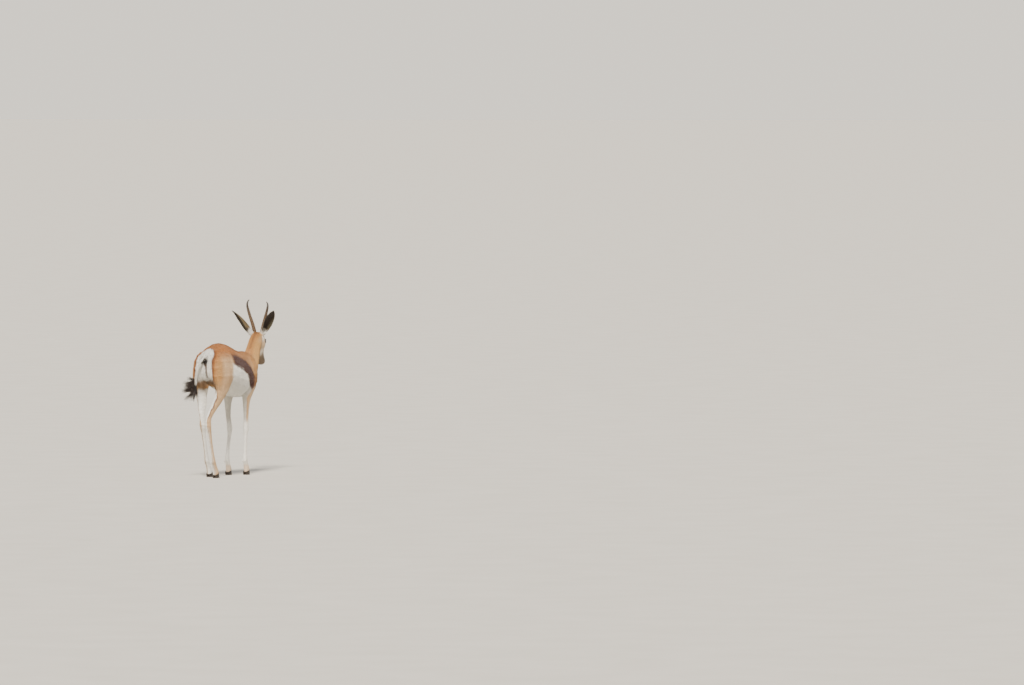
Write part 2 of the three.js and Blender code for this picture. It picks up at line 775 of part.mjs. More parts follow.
function horn(side, share, grow = 0) {
  const line = hornLine(side, share);
  const rings = hornProfile().map(({ t, swell }) => {
    const plain = HORN_TIP + (HORN_BASE - HORN_TIP) * (1 - t) ** HORN_TAPER;
    const radius = plain + swell * HORN_RING_HEIGHT * (1 - 0.6 * t) + grow;
    return roundRing(line, t, radius, radius * HORN_DEEPER, HORN_SIDES);
  });
  return solid(skinned(rings));
}

// A ring square to a curve, held upright by the animal's left
function roundRing(line, t, across, deep, sides) {
  const tangent = line.getTangent(Math.min(t, 1));
  const left = new THREE.Vector3(0, 1, 0);
  left.addScaledVector(tangent, -left.dot(tangent)).normalize();
  const front = new THREE.Vector3().crossVectors(left, tangent);
  return oval(line.getPoint(t), left, front, { left: across, right: across, up: deep, down: deep }, sides);
}

// An ear: a curved leaf with an outer and an inner face, closed at its rim
function ear(spec) {
  const axes = headAxes();
  const root = onHead(EAR_ROOT.along, EAR_ROOT.up, spec.side * spec.out);
  const tip = root
    .clone()
    .addScaledVector(axes.side, spec.side * spec.spread)
    .addScaledVector(axes.back, spec.back)
    .add(new THREE.Vector3(0, 0, spec.rise));
  const axis = tip.clone().sub(root).normalize();
  const opening = axes.back
    .clone()
    .multiplyScalar(spec.faceBack)
    .addScaledVector(axes.side, spec.side * spec.faceOut)
    .add(new THREE.Vector3(0, 0, spec.faceUp));
  opening.addScaledVector(axis, -opening.dot(axis)).normalize();
  const across = new THREE.Vector3().crossVectors(axis, opening).normalize();
  const rings = spread(EAR_LEAF, 2).map((row) => {
    const open = radians(Math.max(row.open, 3));
    const along = root.clone().addScaledVector(axis, row.at * EAR_LENGTH);
    const ring = [];
    for (const face of [1, -1]) {
      for (let i = 0; i <= EAR_ARC; i += 1) {
        const share = face > 0 ? (2 * i) / EAR_ARC - 1 : 1 - (2 * i) / EAR_ARC;
        const edge = face > 0 ? 1 : Math.abs(share) > 0.999 ? EAR_RIM : 1;
        const radius = row.radius + (face * edge * row.thick) / 2;
        const angle = share * open;
        ring.push(
          along
            .clone()
            .addScaledVector(across, radius * Math.sin(angle))
            .addScaledVector(opening, -radius * (Math.cos(angle) - Math.cos(open) * EAR_CUP)),
        );
      }
    }
    return ring;
  });
  const { radius, sides, along, behind } = EAR_BULB;
  const middle = root.clone().addScaledVector(axis, along).addScaledVector(opening, -behind);
  return solid(skinned(rings)).add(ball(middle, radius, sides));
}

function tail(grow = 0) {
  const line = new THREE.CatmullRomCurve3(TAIL.map((s) => new THREE.Vector3(...s.at)));
  const steps = (TAIL.length - 1) * 2;
  const rings = [];
  for (let i = 0; i <= steps; i += 1) {
    const place = (i / steps) * (TAIL.length - 1);
    const half = through(TAIL.map((s) => s.half), place);
    const deep = through(TAIL.map((s) => s.deep), place);
    rings.push(roundRing(line, i / steps, half + grow, deep + grow, TAIL_SIDES));
  }
  return solid(skinned(rings));
}

// Numbers from 0 to 1 that look random and come out the same each time
function drawn(seed) {
  let state = seed;
  return () => {
    state = (state * 16807) % 2147483647;
    return state / 2147483647;
  };
}

// One lock: a flat, tapered ribbon that leaves the tail, bends and hangs
function lock(root, heading, length, wide, thick, droop) {
  const tip = root.clone().addScaledVector(heading, length).add(new THREE.Vector3(0, 0, -droop));
  const middle = root.clone().addScaledVector(heading, length * 0.55);
  const line = new THREE.QuadraticBezierCurve3(root, middle, tip);
  const flat = new THREE.Vector3(1, 0, 0);
  const rings = [];
  for (let i = 0; i <= TUFT.steps; i += 1) {
    const t = i / TUFT.steps;
    const tangent = line.getTangent(t);
    const across = new THREE.Vector3().crossVectors(tangent, flat).normalize();
    const outward = new THREE.Vector3().crossVectors(across, tangent).normalize();
    const taper = 1 - 0.86 * t ** 1.6;
    const size = { left: wide * taper, right: wide * taper, up: thick * taper, down: thick * taper };
    rings.push(oval(line.getPoint(t), across, outward, size, TUFT.sides));
  }
  return solid(skinned(rings));
}

// The tuft: locks rooted inside the end of the tail, most of them blown to the left
function tuft() {
  const line = new THREE.CatmullRomCurve3(TAIL.map((s) => new THREE.Vector3(...s.at)));
  const draw = drawn(TUFT.seed);
  const locks = [];
  for (let i = 0; i < TUFT.locks; i += 1) {
    const share = i / (TUFT.locks - 1);
    const at = line.getPoint(TUFT.from + (TUFT.to - TUFT.from) * share);
    const swing = radians(TUFT.swingFrom + TUFT.swing * draw() * (1 - 0.35 * share));
    const lean = radians(TUFT.lean * (2 * draw() - 1));
    const heading = new THREE.Vector3(Math.sin(lean) * 0.5, Math.sin(swing), -Math.cos(swing)).normalize();
    const length = TUFT.shortest + (TUFT.longest - TUFT.shortest) * draw();
    const wide = TUFT.wide * (0.75 + 0.5 * draw());
    const root = at.clone().addScaledVector(heading, -3);
    locks.push(lock(root, heading, length, wide, TUFT.thick, length * TUFT.droop));
  }
  return joined(locks);
}

// A wedge that takes one leg: its upper face slopes up and out from beside the belly
function legWedge(spec, side, grow) {
  const out = 320;
  const slope = Math.tan(radians(spec.slope));
  const lift = grow / Math.cos(radians(spec.slope));
  const shape = new THREE.Shape();
  shape.moveTo(spec.inner - grow, -50);
  shape.lineTo(out, -50);
  shape.lineTo(out, spec.innerZ + (out - spec.inner) * slope + lift);
  shape.lineTo(spec.inner - grow, spec.innerZ - grow * slope + lift);
  const geometry = new THREE.ExtrudeGeometry(shape, { depth: spec.xTo - spec.xFrom, bevelEnabled: false });
  geometry.rotateX(Math.PI / 2);
  geometry.rotateZ(Math.PI / 2);
  geometry.translate(spec.xFrom, 0, 0);
  const wedge = solid(geometry);
  return side > 0 ? wedge : wedge.mirror([0, 1, 0]);
}

// Everything ahead of the line between two points, as one large block
function ahead(high, low, across, grow) {
  const face = high.clone().sub(low).normalize();
  const forward = new THREE.Vector3().crossVectors(across, face).normalize();
  const block = new THREE.BoxGeometry(FAR, FAR, FAR);
  const turn = new THREE.Matrix4().makeBasis(forward, across, face);
  const middle = high.clone().add(low).multiplyScalar(0.5).addScaledVector(forward, FAR / 2 - grow);
  block.applyMatrix4(turn);
  block.translate(middle.x, middle.y, middle.z);
  return solid(block);
}

// The space one leg takes: its own shape a little enlarged, below the sloping cut
function legCutter(name, table, grow) {
  const stance = STANCE[name];
  const spec = name.startsWith("hind") ? LEG_CUTS.hind : LEG_CUTS.fore;
  return leg(table, stance, LEG_MARGIN + grow).intersect(legWedge(spec, stance.side, grow));
}

function build() {
  const tables = { hind_right: HIND_LEG, hind_left: HIND_LEG, fore_right: FORE_LEG, fore_left: FORE_LEG };
  const legNames = Object.keys(tables);
  const legs = legNames.map((name) => leg(tables[name], STANCE[name]));
  const flesh = joined([trunk(), neck(), ...legs]);

  const left = new THREE.Vector3(0, 1, 0);
  const neckHigh = new THREE.Vector3(NECK_CUT.high[0], 0, NECK_CUT.high[1]);
  const neckLow = new THREE.Vector3(NECK_CUT.low[0], 0, NECK_CUT.low[1]);
  const beyondTorso = ahead(neckHigh, neckLow, left, 0);

  const parts = [];
  for (const name of legNames) {
    const foot = footOf(name, tables[name]);
    const upper = flesh.intersect(legCutter(name, tables[name], 0));
    const limb = joined([upper, ...dewclaws(name, tables[name])]).subtract(coronet(foot, 0));
    parts.push(named("leg_" + name, limb, COLOURS.leg, ROUGHNESS.coat));
    for (const side of [1, -1]) {
      const half = side === STANCE[name].side ? "outer" : "inner";
      const horned = claw(foot, side).intersect(coronet(foot, -GAP));
      parts.push(named("hoof_" + name + "_" + half, horned, COLOURS.hoof, ROUGHNESS.hoof));
    }
  }
  const legCutters = legNames.map((name) => legCutter(name, tables[name], GAP));
  const torso = cut(flesh, [...legCutters, ahead(neckHigh, neckLow, left, GAP)]);
  parts.push(named("torso", torso, COLOURS.torso, ROUGHNESS.coat));

  const neckPart = flesh.intersect(beyondTorso).subtract(skull(GAP));
  parts.push(named("neck", neckPart, COLOURS.neck, ROUGHNESS.coat));

  parts.push(named("head", face(), COLOURS.head, ROUGHNESS.face));

  const around = [skull(GAP), neck(GAP)];
  for (const [name, spec] of Object.entries(EARS)) {
    const side = spec.side;
    const share = side > 0 ? 1 : RIGHT_HORN_SHARE;
    const clearOfHorn = [...around, horn(side, share, GAP)];
    parts.push(named("ear_" + name, cut(ear(spec), clearOfHorn), COLOURS.ear, ROUGHNESS.coat));
    parts.push(named("eye_" + name, eye(side), COLOURS.eye, ROUGHNESS.eye));
    parts.push(named("horn_" + name, cut(horn(side, share), around), COLOURS.horn, ROUGHNESS.horn));
  }

  const behind = [trunk(GAP), leg(HIND_LEG, STANCE.hind_left, GAP), leg(HIND_LEG, STANCE.hind_right, GAP)];
  parts.push(named("tail", cut(tail().add(tuft()), behind), COLOURS.tail, ROUGHNESS.coat));
  return parts;
}

// The origin is the middle of the footprint of the whole, on the floor
const springbok = new THREE.Group();
springbok.name = "springbok";
springbok.add(...build());
const box = new THREE.Box3().setFromObject(springbok);
springbok.position.set(-(box.min.x + box.max.x) / 2, -(box.min.y + box.max.y) / 2, -box.min.z);

export default springbok;
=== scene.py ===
import math
import time

import bmesh
import bpy
import numpy as np
from mathutils import Matrix, Vector
from mathutils.bvhtree import BVHTree


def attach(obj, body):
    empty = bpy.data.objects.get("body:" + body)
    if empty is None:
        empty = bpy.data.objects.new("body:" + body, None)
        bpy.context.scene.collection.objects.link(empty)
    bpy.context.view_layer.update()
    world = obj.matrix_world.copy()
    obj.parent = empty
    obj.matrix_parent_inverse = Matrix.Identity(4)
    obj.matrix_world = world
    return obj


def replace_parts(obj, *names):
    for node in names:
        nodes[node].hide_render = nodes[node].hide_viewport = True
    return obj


started = time.time()
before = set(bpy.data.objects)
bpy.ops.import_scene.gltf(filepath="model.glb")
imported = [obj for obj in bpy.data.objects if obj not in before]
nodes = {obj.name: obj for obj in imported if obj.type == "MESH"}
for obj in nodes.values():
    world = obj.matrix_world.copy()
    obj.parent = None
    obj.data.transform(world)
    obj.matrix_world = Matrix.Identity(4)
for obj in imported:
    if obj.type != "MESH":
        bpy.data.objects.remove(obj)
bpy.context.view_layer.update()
scene = bpy.context.scene

# the solids were laid out in millimetres round this point, then centred on the floor
layout = np.array([73.33, 9.92, 0.0])
legNames = ["leg_fore_left", "leg_fore_right", "leg_hind_left", "leg_hind_right"]
earNames = ["ear_left", "ear_right"]
regions = ["torso", "neck", "head", "tail"] + earNames + legNames


def report(stage):
    print(f"{time.time() - started:6.1f} s  {stage}", flush=True)


def metres(points):
    return (np.asarray(points, float) - layout) / 1000


def millimetres(points):
    return np.asarray(points, float) * 1000 + layout


def unit(v):
    v = np.asarray(v, float)
    return v / np.maximum(np.linalg.norm(v, axis=-1, keepdims=True), 1e-12)


def ramp(low, high, value):
    t = np.clip((value - low) / (high - low), 0, 1)
    return t * t * (3 - 2 * t)


# The camera stands where the photographer stood, looking along the animal from behind its right hip
camera = {
    "heading": 22.5,
    "elevation": 2.5,
    "lens": 200,
    "sensor": 23.6,
    "millimetresPerPixel": 6.0,
    "width": 1024,
    "height": 685,
    "originPixel": (228.3, 475.8),
}


def placeCamera(spec):
    pixel = spec["sensor"] / spec["width"]
    distance = spec["millimetresPerPixel"] * spec["lens"] / pixel / 1000
    heading, drop = math.radians(spec["heading"]), math.radians(spec["elevation"])
    target = Vector(metres((0, 0, 0)))
    back = Vector((-math.cos(heading) * math.cos(drop), -math.sin(heading) * math.cos(drop), math.sin(drop)))
    right = (spec["originPixel"][0] - spec["width"] / 2) * pixel / spec["lens"]
    up = (spec["height"] / 2 - spec["originPixel"][1]) * pixel / spec["lens"]
    size = math.sqrt(1 + right * right + up * up)
    pitch = math.atan(up) + math.asin(size * math.sin(drop) / math.sqrt(1 + up * up))
    turn = heading + math.atan2(right, math.cos(pitch) + up * math.sin(pitch))
    ahead = Vector((math.cos(turn) * math.cos(pitch), math.sin(turn) * math.cos(pitch), -math.sin(pitch)))
    data = bpy.data.cameras.new("camera")
    data.lens, data.sensor_width = spec["lens"], spec["sensor"]
    data.clip_start, data.clip_end = 1, 4000
    made = bpy.data.objects.new("camera", data)
    scene.collection.objects.link(made)
    made.location = target + back * distance
    made.rotation_mode = "QUATERNION"
    made.rotation_quaternion = ahead.to_track_quat("-Z", "Y")
    scene.camera = made


placeCamera(camera)


# Materials
def linear(code):
    out = []
    for i in (0, 2, 4):
        c = int(code[i : i + 2], 16) / 255
        out.append(c / 12.92 if c <= 0.04045 else ((c + 0.055) / 1.055) ** 2.4)
    return np.array(out)


def colour(code):
    return (*linear(code), 1.0)


def addNode(material, kind, settings=None, inputs=None):
    node = material.node_tree.nodes.new(kind)
    for key, value in (settings or {}).items():
        setattr(node, key, value)
    for key, value in (inputs or {}).items():
        if isinstance(value, bpy.types.NodeSocket):
            material.node_tree.links.new(value, node.inputs[key])
        else:
            node.inputs[key].default_value = value
    return node


def startMaterial(name, **sockets):
    material = bpy.data.materials.new(name)
    material.use_nodes = True
    surface = material.node_tree.nodes["Principled BSDF"]
    for key, value in sockets.items():
        surface.inputs[key.replace("_", " ")].default_value = value
    return material, surface


def setStops(node, stops):
    elements = node.color_ramp.elements
    for i, (place, code) in enumerate(stops):
        element = elements[i] if i < 2 else elements.new(place)
        element.position = place
        element.color = colour(code)


def objectPlace(material):
    return addNode(material, "ShaderNodeTexCoord").outputs["Object"]


def noise(material, place, scale, detail, **more):
    inputs = {"Vector": place, "Scale": scale, "Detail": detail, **more}
    return addNode(material, "ShaderNodeTexNoise", inputs=inputs).outputs["Fac"]


def remapped(material, value, low, high, toLow=0.0, toHigh=1.0):
    limits = {"From Min": low, "From Max": high, "To Min": toLow, "To Max": toHigh}
    return addNode(material, "ShaderNodeMapRange", inputs={"Value": value, **limits}).outputs["Result"]


def multiplied(material, tint, tone):
    mode = {"data_type": "RGBA", "blend_type": "MULTIPLY"}
    return addNode(material, "ShaderNodeMix", mode, {0: 1.0, 6: tint, 7: tone}).outputs[2]


def colourRamp(material, value, stops):
    node = addNode(material, "ShaderNodeValToRGB", inputs={"Fac": value})
    setStops(node, stops)
    return node.outputs["Color"]


def maths(material, operation, *values):
    return addNode(material, "ShaderNodeMath", {"operation": operation}, dict(enumerate(values))).outputs[0]


def vectorMaths(material, operation, inputs, output="Vector"):
    return addNode(material, "ShaderNodeVectorMath", {"operation": operation}, inputs).outputs[output]


def plugIn(material, surface, tint, height=None, strength=0.0, distance=0.0):
    material.node_tree.links.new(tint, surface.inputs["Base Color"])
    if height:
        inputs = {"Strength": strength, "Distance": distance, "Height": height}
        bump = addNode(material, "ShaderNodeBump", inputs=inputs)
        material.node_tree.links.new(bump.outputs["Normal"], surface.inputs["Normal"])
    return material


# Summer coat of a springbok, short flat hair with a silky lustre: a soft broad highlight that breaks into
# fine streaks along the lie. Hairs are about 0.05 mm thick, too fine to show, so the streaks are drawn as
# small locks about 2.6 mm apart and five times as long, as bump and as painted highlight and shade in the
# colour.
coatFinish = {
    "lockSpacing": 2.56, "patchesPerMetre": 28.0, "stretch": 0.82,
    "roughness": 0.62, "sheen": 0.12, "sheenRoughness": 0.45, "specular": 0.28, "depth": 0.5,
}


def coatMaterial(name, onSkin):
    material, surface = startMaterial(
        name,
        Roughness=coatFinish["roughness"],
        Sheen_Weight=coatFinish["sheen"],
        Sheen_Roughness=coatFinish["sheenRoughness"],
        Specular_IOR_Level=coatFinish["specular"],
    )
    tint = addNode(material, "ShaderNodeAttribute", {"attribute_name": "coatTint"}).outputs["Color"]
    place = objectPlace(material)
    # a faint uneven tone lies over the whole coat, in patches about 35 mm across
    patches = noise(material, place, coatFinish["patchesPerMetre"], 3.0)
    uneven = multiplied(material, tint, remapped(material, patches, 0.3, 0.7, 0.93, 1.06))
    if not onSkin:
        return plugIn(material, surface, uneven)
    lie = addNode(material, "ShaderNodeAttribute", {"attribute_name": "coatLie"}).outputs["Vector"]
    along = vectorMaths(material, "DOT_PRODUCT", {0: place, 1: lie}, "Value")
    pulled = maths(material, "MULTIPLY", along, coatFinish["stretch"])
    shift = vectorMaths(material, "SCALE", {0: lie, "Scale": pulled})
    stretched = vectorMaths(material, "SUBTRACT", {0: place, 1: shift})
    locks = noise(material, stretched, 1000 / coatFinish["lockSpacing"], 2.0, Roughness=0.6)
    # painted highlight and shade: the locks lighten and darken the skin's colour in streaks along the lie
    sheenAndShadeStreaks = multiplied(material, uneven, remapped(material, locks, 0.3, 0.7, 0.78, 1.12))
    return plugIn(material, surface, sheenAndShadeStreaks, locks, coatFinish["depth"], 0.0008)


# Shapes shared by the pieces
def addObject(name, mesh, material=None):
    made = bpy.data.objects.new(name, mesh)
    scene.collection.objects.link(made)
    if material:
        mesh.materials.clear()
        mesh.materials.append(material)
    return made


def meshFrom(name, points, triangles):
    mesh = bpy.data.meshes.new(name)
    mesh.vertices.add(len(points))
    mesh.vertices.foreach_set("co", np.asarray(points, np.float32).ravel())
    corners = np.asarray(triangles, np.int32)
    mesh.loops.add(corners.size)
    mesh.loops.foreach_set("vertex_index", corners.ravel())
    mesh.polygons.add(len(corners))
    mesh.polygons.foreach_set("loop_start", np.arange(0, corners.size, corners.shape[1], dtype=np.int32))
    mesh.polygons.foreach_set("use_smooth", np.ones(len(corners), bool))
    mesh.update(calc_edges=True)
    return mesh


def pointsOf(mesh):
    flat = np.empty(len(mesh.vertices) * 3, np.float32)
    mesh.vertices.foreach_get("co", flat)
    return flat.reshape(-1, 3).astype(float)


def edgesOf(mesh):
    flat = np.empty(len(mesh.edges) * 2, np.int32)
    mesh.edges.foreach_get("vertices", flat)
    return flat.reshape(-1, 2)


def normalsOf(mesh):
    flat = np.empty(len(mesh.vertices) * 3, np.float32)
    mesh.vertex_normals.foreach_get("vector", flat)
    return flat.reshape(-1, 3).astype(float)


def setPoints(mesh, points):
    mesh.vertices.foreach_set("co", np.asarray(points, np.float32).ravel())
    mesh.update()


def neighbourMean(values, edges):
    count = len(values)
    share = np.maximum(np.bincount(edges.ravel(), minlength=count), 1)
    one, two = edges.T
    total = [
        np.bincount(one, values[two, k], count) + np.bincount(two, values[one, k], count)
        for k in range(values.shape[1])
    ]
    return np.stack(total, 1) / share[:, None]


def relax(points, edges, weight, rounds):
    # each round pulls in and lets out again, so facets go and the volume stays
    for _ in range(rounds):
        for pull in (0.5, -0.52):
            points = points + pull * weight[:, None] * (neighbourMean(points, edges) - points)
    return points


def roundAngles(sides):
    return np.arange(sides) * 2 * math.pi / sides


def ringFaces(count, sides, closed=False):
    # triangles between neighbouring rings, and back to the first one where the tube is closed
    faces = []
    for i in range(count if closed else count - 1):
        for j in range(sides):
            a, b = i * sides + j, i * sides + (j + 1) % sides
            c, d = (i + 1) % count * sides + j, (i + 1) % count * sides + (j + 1) % sides
            faces += [(a, b, d), (a, d, c)]
    return faces


def endFans(count, sides):
    # two fans shut a tube, round the two end points that follow its rings
    first, last, end = count * sides, count * sides + 1, (count - 1) * sides
    faces = []
    for j in range(sides):
        faces += [(first, (j + 1) % sides, j), (last, end + j, end + (j + 1) % sides)]
    return faces


def tube(centres, radii, sides, name):
    centres = np.asarray(centres, float)
    tangents = unit(np.gradient(centres, axis=0))
    side = unit(np.cross(tangents, (0.0, 1.0, 0.02)))
    other = np.cross(tangents, side)
    angle = roundAngles(sides)
    rings = centres[:, None] + np.asarray(radii)[:, None, None] * (
        np.cos(angle)[None, :, None] * side[:, None] + np.sin(angle)[None, :, None] * other[:, None]
    )
    points = np.concatenate([rings.reshape(-1, 3), centres[:1], centres[-1:]])
    return meshFrom(name, points, ringFaces(len(centres), sides) + endFans(len(centres), sides))


def curveThrough(knots, count):
    knots = np.asarray(knots, float)
    places = np.linspace(0, len(knots) - 1, count)
    i = np.minimum(places.astype(int), len(knots) - 2)
    f = (places - i)[:, None]
    b, c = knots[i], knots[i + 1]
    a = np.where((i > 0)[:, None], knots[np.maximum(i - 1, 0)], 2 * b - c)
    d = np.where((i < len(knots) - 2)[:, None], knots[np.minimum(i + 2, len(knots) - 1)], 2 * c - b)
    return (2 * b + (c - a) * f + (2 * a - 5 * b + 4 * c - d) * f**2 + (3 * b - a - 3 * c + d) * f**3) / 2


# The head's own axes: along to the nose, up to the brow, side to the animal's left
headFrame = {"origin": (442, -4, 828), "pitch": 50, "yaw": 12}
pitch, yaw = math.radians(headFrame["pitch"]), math.radians(headFrame["yaw"])
headAlong = np.array([math.cos(pitch) * math.cos(yaw), math.cos(pitch) * math.sin(yaw), -math.sin(pitch)])
headUp = np.array([math.sin(pitch) * math.cos(yaw), math.sin(pitch) * math.sin(yaw), math.cos(pitch)])
headSide = np.array([-math.sin(yaw), math.cos(yaw), 0.0])
headBack = np.array([-math.cos(yaw), -math.sin(yaw), 0.0])


def onHead(along, up, side):
    return np.array(headFrame["origin"]) + along * headAlong + up * headUp + side * headSide


def headPlace(points):
    offset = points - np.array(headFrame["origin"])
    return offset @ headAlong, offset @ headUp, offset @ headSide


# Ears: where each leaf starts, where it points and which way its cup opens
ears = {
    "ear_left": {"side": 1, "out": 41, "spread": 130, "rise": 134, "back": 22, "face": (0.4, 0.7, -0.6)},
    "ear_right": {"side": -1, "out": 35, "spread": 89, "rise": 132, "back": 90, "face": (0.9, 0.8, 0.1)},
}
earSize = {"length": 180, "root": (3, 24)}


def earAxes(name):
    spec = ears[name]
    root = onHead(*earSize["root"], spec["out"] * spec["side"])
    aside = headSide * spec["side"] * spec["spread"]
    axis = unit(aside + headBack * spec["back"] + np.array([0, 0, spec["rise"]]))
    back, out, rise = spec["face"]
    opening = headBack * back + headSide * spec["side"] * out + np.array([0, 0, rise])
    opening = unit(opening - axis * (opening @ axis))
    return root, axis, opening, np.cross(axis, opening)


# The tail: a thin white dock swung to the left, with a black tuft
tail = {
    "line": [
        (-338, -8, 740), (-366, -4, 726), (-392, 12, 692), (-402, 31, 646),
        (-404, 40, 600), (-404, 42, 562), (-405, 45, 532), (-405, 49, 508),
    ],
    "half": [15, 14, 11, 9, 8, 8, 6.5, 3],
    "coreShare": 0.72,
    "steps": 60,
}
tailLine = curveThrough(tail["line"], tail["steps"])
tailHalf = curveThrough(np.array(tail["half"])[:, None], tail["steps"])[:, 0] * tail["coreShare"]

# One skin over the flesh: the solids are joined, remeshed as one body and smoothed
skinWork = {
    "swell": 0.0005, "voxel": 0.0017, "triangles": 186000,
    "bodyRounds": 14, "bodyLeast": 0.15, "headRounds": 3, "earPull": 0.5, "lastRounds": 2, "lastPull": 0.35,
    "blendRounds": 8, "levels": 4, "finest": 0.25,
}


def joinFlesh():
    work = bmesh.new()
    for name in ["torso", "neck", "head"] + earNames + legNames:
        part = bmesh.new()
        part.from_mesh(nodes[name].data)
        bmesh.ops.remove_doubles(part, verts=part.verts, dist=2e-6)
        part.normal_update()
        for v in part.verts:
            v.co += v.normal * skinWork["swell"]
        copy = bpy.data.meshes.new("copy")
        part.to_mesh(copy)
        part.free()
        work.from_mesh(copy)
        bpy.data.meshes.remove(copy)
    dock = tube(metres(tailLine), tailHalf / 1000, 20, "dock")
    work.from_mesh(dock)
    bpy.data.meshes.remove(dock)
    joined = bpy.data.meshes.new("flesh")
    work.to_mesh(joined)
    work.free()
    return joined


def applied(holder, name):
    graph = bpy.context.evaluated_depsgraph_get()
    mesh = bpy.data.meshes.new_from_object(holder.evaluated_get(graph))
    mesh.name = name
    bpy.data.objects.remove(holder)
    return mesh


def regionFinder():
    corners, faces, owner = [], [], []
    for k, name in enumerate(regions):
        if name == "tail":
            mesh = tube(metres(tailLine), tailHalf / 1000, 12, "tailGuide")
        else:
            mesh = nodes[name].data
        base = len(corners)
        corners += [tuple(v.co) for v in mesh.vertices]
        faces += [tuple(base + i for i in p.vertices) for p in mesh.polygons]
        owner += [k] * len(mesh.polygons)
        if name == "tail":
            bpy.data.meshes.remove(mesh)
    tree = BVHTree.FromPolygons(corners, faces)

    def find(points):
        return np.array([owner[tree.find_nearest(p)[2]] for p in points], np.int32)

    return find


findRegion = regionFinder()
flesh = addObject("fleshWork", joinFlesh())
remesh = flesh.modifiers.new("remesh", "REMESH")
remesh.mode, remesh.voxel_size = "VOXEL", skinWork["voxel"]
skinMesh = applied(flesh, "skin")
report(f"skin remeshed to {len(skinMesh.polygons)} faces")

points, edges = pointsOf(skinMesh), edgesOf(skinMesh)
place = findRegion(points)
isEar = (place == regions.index("ear_left")) | (place == regions.index("ear_right"))
onHeadPart = (place == regions.index("head")) | isEar
softness = np.where(onHeadPart, 0.0, 1.0)[:, None]
for _ in range(skinWork["blendRounds"]):
    softness = neighbourMean(softness, edges)
softness = softness[:, 0]
points = relax(points, edges, np.maximum(softness, skinWork["bodyLeast"]), skinWork["bodyRounds"])
points = relax(points, edges, np.where(isEar, skinWork["earPull"], 1.0), skinWork["headRounds"])
setPoints(skinMesh, points)
report("skin smoothed")

holder = addObject("skinWork", skinMesh)
group = holder.vertex_groups.new(name="coarse")
levels = np.round(np.clip(softness, 0, 1) * skinWork["levels"]).astype(int)
for level in range(skinWork["levels"] + 1):
    weight = skinWork["finest"] + (1 - skinWork["finest"]) * level / skinWork["levels"]
    group.add(np.flatnonzero(levels == level).tolist(), weight, "REPLACE")
thin = holder.modifiers.new("thin", "DECIMATE")
thin.ratio = skinWork["triangles"] / (2 * len(skinMesh.polygons))
thin.vertex_group, thin.vertex_group_factor = "coarse", 1.0
oldMesh = skinMesh
skinMesh = applied(holder, "skin")
bpy.data.meshes.remove(oldMesh)
work = bmesh.new()
work.from_mesh(skinMesh)
bmesh.ops.triangulate(work, faces=work.faces)
work.to_mesh(skinMesh)
work.free()
skinMesh.polygons.foreach_set("use_smooth", np.ones(len(skinMesh.polygons), bool))
skinMesh.update()
points, edges = pointsOf(skinMesh), edgesOf(skinMesh)
points = relax(points, edges, np.full(len(points), skinWork["lastPull"]), skinWork["lastRounds"])
setPoints(skinMesh, points)


def calmNormals(mesh, edges):
    # thin slivers left by the decimation can point anywhere, so their neighbours outvote them
    calm = normalsOf(mesh)
    for _ in range(2):
        calm = unit(neighbourMean(calm, edges) + 0.5 * calm)
    return calm


normals = calmNormals(skinMesh, edges)
place = findRegion(points)
report(f"skin thinned to {len(skinMesh.polygons)} triangles")


def isIn(*names):
    return np.isin(place, [regions.index(n) for n in names])


# centre line of each region, from slices across its main direction
slices = 24
mainWays = {
    "torso": (1, 0, 0), "neck": unit((0.86, 0, 0.5)), "head": headAlong, "tail": (0, 0, -1),
    "ear_left": earAxes("ear_left")[1], "ear_right": earAxes("ear_right")[1],
    **{name: (0, 0, -1) for name in legNames},
}


def centreLines(mm):
    found = {}
    for k, name in enumerate(regions):
        way = unit(mainWays[name])
        mine = mm[place == k]
        reach = mine @ way
        low, high = reach.min(), reach.max()
        bins = np.clip(((reach - low) / (high - low) * slices).astype(int), 0, slices - 1)
        counts = np.maximum(np.bincount(bins, minlength=slices), 1)
        middle = np.stack([np.bincount(bins, mine[:, i], slices) / counts for i in range(3)], 1)
        filled = np.bincount(bins, minlength=slices) > 0
        at = (np.arange(slices) + 0.5) / slices * (high - low) + low
        found[name] = (way, low, high, at[filled], middle[filled])
    return found


mm = millimetres(points)
lines = centreLines(mm)


def localPlace(mm, place):
    # share of the way along its region, and the offset from that region's centre line
    share, offset = np.zeros(len(mm)), np.zeros((len(mm), 3))
    for k, name in enumerate(regions):
        mine = place == k
        if not mine.any():
            continue
        way, low, high, at, middle = lines[name]
        reach = mm[mine] @ way
        share[mine] = (reach - low) / (high - low)
        centre = np.stack([np.interp(reach, at, middle[:, i]) for i in range(3)], 1)
        offset[mine] = mm[mine] - centre
    return share, offset


# Markings, worked out from the body's own measures in millimetres
coatColours = {
    "cinnamon": "ab6d36", "darkCinnamon": "74401f", "fawn": "be8e56", "paleFawn": "d3b189", "gold": "c7985a",
    "chocolate": "421608", "white": "f6f2e9", "cream": "c2a685", "greyWhite": "c6c1b7", "black": "120f0e",
    "muzzleInShade": "5f4f40", "stripe": "6a452a", "shade": "73604f", "earTan": "64553b", "earDark": "2a211c",
    "earGrey": "57513f", "nosePad": "1d1816", "tuft": "251912", "hornBase": "68523e", "hornTip": "372c24",
}
tints = {name: linear(code) for name, code in coatColours.items()}
midline = -8


def paint(base, name, amount):
    return base + (tints[name] - base) * np.clip(amount, 0, 1)[:, None]


class Spots:
    # points of the coat, with what their markings are worked out from; a ramp runs from its first place to
    # its second, so the two also say how soft that edge is
    def __init__(self, mm, normal, place, jitter):
        self.mm, self.normal, self.place, self.jitter = mm, normal, place, jitter
        self.x, self.y, self.z = x, y, z = mm.T
        self.wave = 3.0 * np.sin(x * 0.11 + z * 0.05) + 2.0 * np.sin(z * 0.17 - x * 0.07) + jitter
        self.share, self.offset = localPlace(mm, place)
        self.aside = y - midline

    def within(self, *names):
        return np.isin(self.place, [regions.index(n) for n in names]).astype(float)


